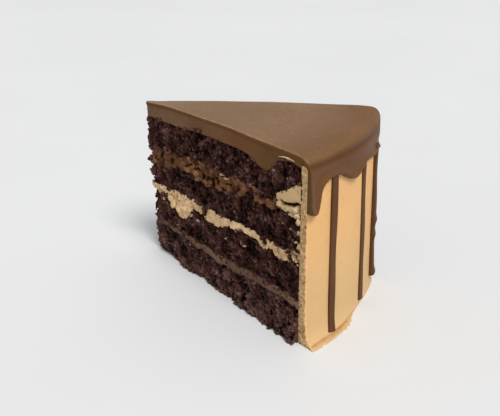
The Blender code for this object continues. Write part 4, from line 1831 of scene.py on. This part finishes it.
@dataclass
class RimBand:
    """The last of the ganache between sponge and glaze at the rim, with a thin edge of cream in it.

    Attributes:
        low: The band's lower edge, as radii and heights in mm.
        cream: The middle of the edge of cream, likewise.
        band_out: How far the band stands out of the cut, or lies inside it if negative.
    """

    rim: Rim
    low: tuple = ((109.0, 88.3), (113.0, 88.5), (116.0, 88.7), (120.0, 88.7), (124.0, 88.3), (126.8, 87.6))
    cream: tuple = ((112.2, 89.3), (116.0, 90.0), (119.5, 90.0), (122.4, 89.7))
    cream_half: float = 0.36 * MM
    depth: float = 6.0 * MM
    band_out: float = -0.2 * MM
    cream_out: float = 0.35 * MM
    columns: int = 40
    around: int = 20

    def strip(self, name: str, lower: np.ndarray, upper: np.ndarray, radii: np.ndarray, proud: float,
              side: Side) -> Object:
        """Builds one shallow strip along a cut.

        Args:
            name: Its name.
            lower: Heights of its lower edge.
            upper: Heights of its upper edge.
            radii: The radii that they belong to.
            proud: How far it stands out of the cut.
            side: Which cut face it lies on.

        Returns:
            The strip as a closed piece.
        """
        out, up = rounded_box(self.around)
        outs = min(proud, 0.0) + np.where(out > 0, max(proud, 0.0) * out, self.depth * out)
        rings = []
        for radius, low, high in zip(radii, lower, upper):
            height = 0.5 * (low + high) + 0.5 * (high - low) * up
            rings.append(self.rim.wedge.place(radius, side.value, height, outs))
        rings = np.stack(rings)
        return closed_stack(name, rings, cut=np.ones(rings.shape[:2]), relief=np.zeros(rings.shape[:2]))

    def build(self, ganache: Material, cream: Material) -> None:
        """Builds the band and its edge of cream on both cuts.

        Args:
            ganache: The ganache's finish.
            cream: The cream's finish.
        """
        low_radii, low = MM * np.transpose(self.low)
        radii = np.linspace(low_radii[0], low_radii[-1], self.columns)
        cream_radii, middle = MM * np.transpose(self.cream)
        thin = np.linspace(cream_radii[0], cream_radii[-1], self.columns)
        bands, edges = [], []
        for side in Side:
            roof = self.rim.top.at(radii, side.value) - 0.8 * self.rim.glaze_thickness
            sink = self.rim.top.at(self.rim.top.LAST, 0.0) - self.rim.top.at(self.rim.top.LAST, side.value)
            uneven = 0.2 * MM * waves(np.stack([radii] * 3, axis=-1), 3.0 * MM, 41)
            floor = np.interp(radii, low_radii, low) - sink + uneven
            bands.append(self.strip("ganache_rim", floor, roof, radii, self.band_out, side))
            centre = np.interp(thin, cream_radii, middle) - sink
            half = self.cream_half * smooth_step(cream_radii[0], cream_radii[0] + 4.5 * MM, thin)
            half = half * (1.0 - 0.85 * smooth_step(118.5 * MM, 122.4 * MM, thin))
            half = half * (0.8 + 0.3 * waves(np.stack([thin] * 3, axis=-1), 4.0 * MM, 42)) + 0.05 * MM
            edges.append(self.strip("cream_edge", centre - half, centre + half, thin, self.cream_out, side))
        for strips, material, slot in ((bands, ganache, "ganache"), (edges, cream, "buttercream")):
            finish_piece(join(strips), material=material)


# ---- stage


@dataclass
class Studio:
    """Pale floor, soft light and the camera."""

    camera_from_tip: Vector = Vector((249.5 * MM, -252.0 * MM, 184.3 * MM))
    heading: Vector = Vector((-0.52735, 0.74164, -0.41460))
    roll: float = 0.628
    lens: float = 46.29
    floor_size: float = 6.0
    key_strength: float = 2.67
    key_width: float = 24.0
    key_height: float = 54.0
    key_turn: float = -25.0
    key_colour: Colour = (1.0, 0.985, 0.965)
    sky_strength: float = 0.5
    sky_colour: Colour = (0.97, 0.985, 1.0)

    def camera(self, wedge: Wedge) -> None:
        """Sets the camera up, placed from the middle of the whole cake.

        Args:
            wedge: The slice's coordinates.
        """
        data = bpy.data.cameras.new("camera")
        data.lens = self.lens
        data.sensor_width = 36.0
        data.clip_start = 0.01
        data.clip_end = 50.0
        camera = add_object("camera", data)
        camera.location = Vector((wedge.centre_x, 0.0, 0.0)) + self.camera_from_tip
        turn = self.heading.to_track_quat("-Z", "Y").to_matrix()
        roll = Matrix.Rotation(math.radians(-self.roll), 3, "Z")
        camera.rotation_euler = (turn @ roll).to_euler()
        bpy.context.scene.camera = camera

    def build(self, wedge: Wedge, effects: Effects) -> None:
        """Builds floor, light and camera.

        Args:
            wedge: The slice's coordinates.
            effects: The shared shader groups.
        """
        half = self.floor_size / 2
        mesh = bpy.data.meshes.new("floor")
        corners = [(-half, -half, 0.0), (half, -half, 0.0), (half, half, 0.0), (-half, half, 0.0)]
        mesh.from_pydata(corners, [], [(0, 1, 2, 3)])
        mesh.materials.append(FloorFinish().make(effects))
        add_object("floor", mesh)
        sun = bpy.data.lights.new("key", "SUN")
        sun.energy = self.key_strength
        sun.angle = math.radians(self.key_width)
        sun.color = self.key_colour
        light = add_object("key", sun)
        rise, turn = (math.radians(angle) for angle in (self.key_height, self.key_turn))
        towards = Vector((math.cos(rise) * math.cos(turn), math.cos(rise) * math.sin(turn), math.sin(rise)))
        light.location = towards
        light.rotation_euler = towards.to_track_quat("Z", "Y").to_euler()
        world = bpy.data.worlds.new("world")
        world.use_nodes = True
        background = world.node_tree.nodes["Background"]
        background.inputs["Color"].default_value = (*self.sky_colour, 1.0)
        background.inputs["Strength"].default_value = self.sky_strength
        bpy.context.scene.world = world
        bpy.context.scene.view_settings.view_transform = "Standard"
        self.camera(wedge)


# ---- what is built


def sizes(pore_share: float = 0.5, **millimetres: float) -> dict[str, float]:
    """Gives a relief tree's values by input name, from sizes in mm and the share of cells that are pores."""
    return {"Pore_Share": pore_share, **{name: size * MM for name, size in millimetres.items()}}


SPONGE_RIM = 127.0 * MM
SPONGE_RELIEF = sizes(Lump_Size=6.5, Lump_Height=1.2, Grain_Size=2.0, Grain_Height=0.8, Fine_Size=0.9,
                      Fine_Height=0.5, Pore_Size=4.6, Pore_Depth=2.2)

# Each torn layer, and the name of its finish.
TORN_LAYERS = (
    (TornLayer("sponge_top", "sponge_1", tip=1.0 * MM, seed=1, spill=0.3 * MM, ragged=0.8 * MM,
               relief=SPONGE_RELIEF,
               cracks=(((41.0, 81.9), (42.1, 80.4), 1.1), ((49.7, 84.6), (53.1, 83.4), 1.2),
                       ((57.0, 77.4), (56.0, 75.2), 1.3), ((59.8, 80.7), (63.2, 81.0), 1.2),
                       ((27.0, 83.0), (28.5, 82.4), 0.9), ((70.0, 76.0), (72.0, 74.6), 1.0))), "sponge"),
    (TornLayer("sponge_upper", "sponge_2", tip=1.2 * MM, seed=2, spill=0.4 * MM, ragged=0.6 * MM,
               relief=SPONGE_RELIEF), "sponge"),
    (TornLayer("sponge_lower", "sponge_3", tip=1.2 * MM, seed=3, spill=0.4 * MM, ragged=0.6 * MM,
               relief=SPONGE_RELIEF), "sponge"),
    (TornLayer("sponge_foot", "sponge_4", tip=1.2 * MM, seed=4, spill=0.3 * MM, ragged=0.6 * MM,
               lumps=1.1 * MM, lump_length=13.0 * MM, voxel=0.48 * MM, relief=SPONGE_RELIEF), "sponge"),
    (TornLayer("crunch_filling", "filling_crunch", "crunch", tip=0.6 * MM, rim=112.0 * MM, spill=1.0 * MM,
               ragged=0.7 * MM, seed=32, crack_depth=2.2 * MM,
               relief=sizes(0.55, Sink=0.3, Lump_Size=6.0, Lump_Height=1.4, Grain_Size=3.4, Grain_Height=0.7,
                            Fine_Height=0.25, Pore_Size=5.0, Pore_Depth=2.0),
               cracks=(((37.5, 63.9), (42.5, 65.0), 0.45), ((45.4, 64.4), (48.6, 63.7), 0.5),
                       ((51.0, 60.9), (52.2, 60.9), 1.2), ((61.5, 65.4), (65.2, 63.0), 0.9),
                       ((71.6, 63.5), (75.2, 64.3), 0.4), ((5.5, 58.8), (8.8, 58.6), 0.9))), "crunch"),
    (TornLayer("cream_dam", "buttercream_dam", "buttercream", tip=110.5 * MM, rim=127.4 * MM, spill=0.6 * MM,
               spacing=0.5 * MM, rows=32, nose=0.3 * MM, seed=33, crack_depth=2.6 * MM,
               relief=sizes(0.25, Lump_Size=8.0, Lump_Height=0.2, Grain_Height=0.1, Fine_Height=0.1,
                            Pore_Size=2.5, Pore_Depth=0.7),
               cracks=(((114.2, 68.6), (115.6, 67.9), 0.6), ((115.6, 67.9), (120.0, 68.4), 0.75),
                       ((120.0, 68.4), (124.0, 70.3), 0.7), ((124.0, 70.3), (125.6, 70.0), 0.6),
                       ((125.6, 70.0), (126.2, 67.2), 0.5))), "dam_cream"),
    (TornLayer("cream_filling", "filling_buttercream", "buttercream", tip=0.2 * MM, spill=0.8 * MM,
               ragged=0.6 * MM, seed=34,
               relief=sizes(0.3, Sink=0.3, Lump_Size=5.0, Lump_Height=0.7, Grain_Size=3.2, Grain_Height=0.4,
                            Fine_Height=0.2, Pore_Size=3.4, Pore_Depth=1.6),
               cracks=(((50.0, 38.5), (51.0, 45.0), 1.5), ((116.8, 48.0), (126.2, 42.0), 0.8),
                       ((98.0, 46.5), (101.0, 43.5), 0.6))), "cream"),
    (TornLayer("thin_ganache", "filling_ganache", "ganache", tip=1.6 * MM, rows=8, spill=1.3 * MM, seed=35,
               belly=0.7 * MM, ragged=0.4 * MM,
               relief=sizes(Sink=0.35, Lump_Height=0.8, Grain_Height=0.4, Fine_Height=0.3)), "thin"),
)
BLOCK = SmoothLayer("ganache_block", "ganache_top", "ganache", tip=1.2 * MM, rim=114.8 * MM, spacing=0.5 * MM,
                    rows=28, spill=0.6 * MM, ragged=0.15 * MM, seed=31, edge_groove=0.1 * MM,
                    relief=sizes(Lump_Height=0.15, Grain_Height=0.05, Pore_Depth=0.1, Jitter=0.05))

# Loose bits, the layer that they lie on, and the name of their finish.
STREWN = (
    *((Crumbs(f"crumbs_{host}", "sponge", 4.0e5, seed=80 + number), host, "sponge")
      for number, host in enumerate(("sponge_top", "sponge_upper", "sponge_lower", "sponge_foot"))),
    (Crumbs("crumbs_on_crunch", "sponge", 2.2e5, 0.6 * MM, 3.4 * MM, 0.75, 7.0 * MM, 85),
     "crunch_filling", "sponge"),
    (Crumbs("crumbs_on_cream", "sponge", 4.0e5, 0.3 * MM, 1.0 * MM, 0.78, seed=86),
     "cream_filling", "sponge"),
    (Crumbs("crumbs_on_ganache", "sponge", 1.6e5, 0.4 * MM, 1.4 * MM, seed=87), "thin_ganache", "sponge"),
    (Crumbs("caramel_bits", "crunch", 1.2e5, 0.5 * MM, 1.8 * MM, 0.8, seed=88), "crunch_filling", "caramel"),
)

# Single bits, and the name of their finish.
SINGLE_BITS = (
    (Bits("dam_lumps", "buttercream", 15, (
        (113.6, 67.2, 1.6, 1.2, 0.5), (116.4, 66.4, 1.9, 1.1, 0.2), (118.8, 66.6, 1.7, 1.0, 0.4),
        (121.2, 67.0, 1.8, 1.2, 0.3), (123.8, 67.6, 1.6, 1.6, 0.4), (124.6, 65.2, 1.6, 1.3, 0.2),
        (121.6, 65.0, 1.7, 1.0, 0.2), (125.9, 62.8, 0.9, 1.5, 0.2))), "chunk"),
    (Bits("blob_edge", "buttercream", 25, (
        (19.8, 38.3, 2.6, 2.3, -0.4), (22.6, 35.8, 2.5, 2.2, -0.3), (27.6, 34.0, 2.5, 1.9, -0.3),
        (33.4, 36.4, 2.3, 2.0, -0.3))), "cream"),
    (Bits("cream_crumbs", "buttercream", 5, (
        (9.5, 39.8, 1.5, 1.2, -0.2), (13.0, 36.0, 1.0, 0.8, -0.3), (46.5, 34.2, 1.4, 0.7, -0.4),
        (41.0, 35.4, 1.0, 0.8, -0.3), (69.6, 68.0, 1.3, 0.35, -0.2), (73.4, 66.9, 1.6, 0.35, -0.2),
        (126.0, 57.2, 0.9, 1.1, -0.2), (126.3, 50.4, 1.0, 1.4, -0.2), (124.4, 52.2, 0.7, 0.5, -0.2),
        (121.0, 57.5, 0.9, 0.4, -0.3), (72.0, 33.5, 0.6, 0.5, -0.2), (85.0, 36.5, 0.5, 0.8, -0.2),
        (87.0, 35.4, 0.9, 0.4, -0.3))), "pale"),
    (Bits("sponge_knobs", "sponge", 35, (
        (3.7, 50.8, 3.4, 0.8, -0.5), (38.6, 83.7, 2.2, 1.3, -0.3), (47.4, 85.5, 1.6, 1.0, -0.2),
        (52.0, 86.2, 2.4, 1.2, -0.2), (60.2, 83.6, 2.0, 1.5, -0.2), (66.0, 83.9, 1.4, 0.9, -0.2))), "sponge"),
    (Bits("sponge_bridges", "sponge", 55, (
        (54.0, 42.2, 0.9, 2.3, 0.4), (101.4, 45.4, 1.7, 1.2, 0.4), (103.2, 43.9, 1.0, 0.9, 0.4),
        (112.6, 46.2, 1.6, 0.7, 0.4), (116.4, 46.2, 1.6, 0.7, 0.3), (119.0, 45.2, 1.0, 0.8, 0.3),
        (120.4, 43.7, 0.8, 1.0, 0.3), (121.6, 42.0, 0.8, 1.0, 0.3), (122.9, 40.4, 0.9, 0.9, 0.3),
        (107.4, 38.6, 1.3, 0.9, 0.3))), "sponge"),
    (Bits("caramel_lumps", "crunch", 45, (
        (46.2, 61.7, 1.8, 2.0, -0.1), (38.8, 61.4, 2.6, 1.6, -0.3), (68.8, 66.0, 0.8, 1.6, -0.2))),
     "caramel"),
    (Bits("crunch_knob", "crunch", 9, (
        (5.2, 58.0, 1.8, 2.4, -0.6), (56.0, 59.6, 1.6, 1.1, 0.3), (60.5, 61.0, 1.2, 0.9, 0.3))), "crunch"),
)

FINISHES = {
    "sponge": SpongeFinish(),
    "ganache": GanacheFinish("ganache_cut", (0.122, 0.052, 0.017), (0.200, 0.108, 0.052), sheen=0.12,
                             rimward=(0.142, 0.055, 0.0095)),
    "thin": GanacheFinish("ganache_thin", (0.115, 0.056, 0.035), (0.19, 0.105, 0.068), 0.6, 0.2 * MM),
    # The crunch's last tone is painted shade in its sunk parts and cracks.
    "crunch": GanacheFinish("crunch", (0.100, 0.040, 0.016), (0.250, 0.118, 0.052), 0.5, 0.4 * MM, 0.04,
                            painted_crevice_shade=(0.010, 0.002, 0.001)),
    "cream": CreamFinish("buttercream", (0.88, 0.63, 0.36), (0.56, 0.34, 0.15)),
    "dam_cream": CreamFinish("buttercream_dam", (0.70, 0.49, 0.25), (0.56, 0.37, 0.18)),
    "chunk": CreamFinish("buttercream_chunk", (0.70, 0.52, 0.31), (0.40, 0.26, 0.13), 0.6),
    "pale": CreamFinish("buttercream_crumbs", (0.50, 0.36, 0.24), (0.26, 0.15, 0.08), 0.6),
    "coat": CreamFinish("coat", (0.80, 0.465, 0.190), (0.70, 0.385, 0.150), 0.2, torn=False, coat=True),
    "caramel": GanacheFinish("caramel", (0.16, 0.07, 0.018), (0.28, 0.13, 0.04), 0.3, 0.2 * MM),
    "glaze": GlazeFinish(),
    "line": GanacheFinish("chocolate_line", (0.088, 0.035, 0.010), (0.110, 0.046, 0.015), 0.6, 0.1 * MM),
}


def main() -> None:
    """Builds the slice piece by piece, then the stage."""
    logging.basicConfig(level=logging.INFO, format="%(message)s")
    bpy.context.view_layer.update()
    effects = Effects()
    wedge = Wedge(centre_x=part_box("sponge_2")[1].x - SPONGE_RIM * (1.0 - Wedge.far_shrink / 2))
    at = Setting(wedge, LayerReader(wedge), Slump())
    crumb, shallow, strew = crumb_tree(), relief_tree(), scatter_tree()
    looks = {name: finish.make(effects) for name, finish in FINISHES.items()}
    pieces = {layer.name: layer.build(at, crumb, looks[look]) for layer, look in TORN_LAYERS}
    BLOCK.build(at, shallow, looks["ganache"])
    for crumbs, host, look in STREWN:
        crumbs.build(pieces[host], strew, looks[look])
    for bits, look in SINGLE_BITS:
        bits.build(at, looks[look])
    rim = Rim(wedge, TopSurface(at.reader))
    Glaze(rim).build(looks["glaze"])
    Coat(rim).build(shallow, looks["coat"])
    RimBand(rim).build(looks["ganache"], looks["chunk"])
    for line in (ChocolateLine(rim, 1, -8.6, -7.85, 1.9 * MM, -0.5 * MM),
                 ChocolateLine(rim, 2, 3.75, 5.5, 2.2 * MM, -0.6 * MM),
                 ChocolateLine(rim, 3, 12.2, 13.2, 8.0 * MM, 0.0, thickness=1.9 * MM,
                               bumps=((40.0, 0.7), (31.5, 0.6), (9.5, 0.8)))):
        line.build(looks["line"])
    Studio().build(wedge, effects)


if __name__ == "__main__":
    main()
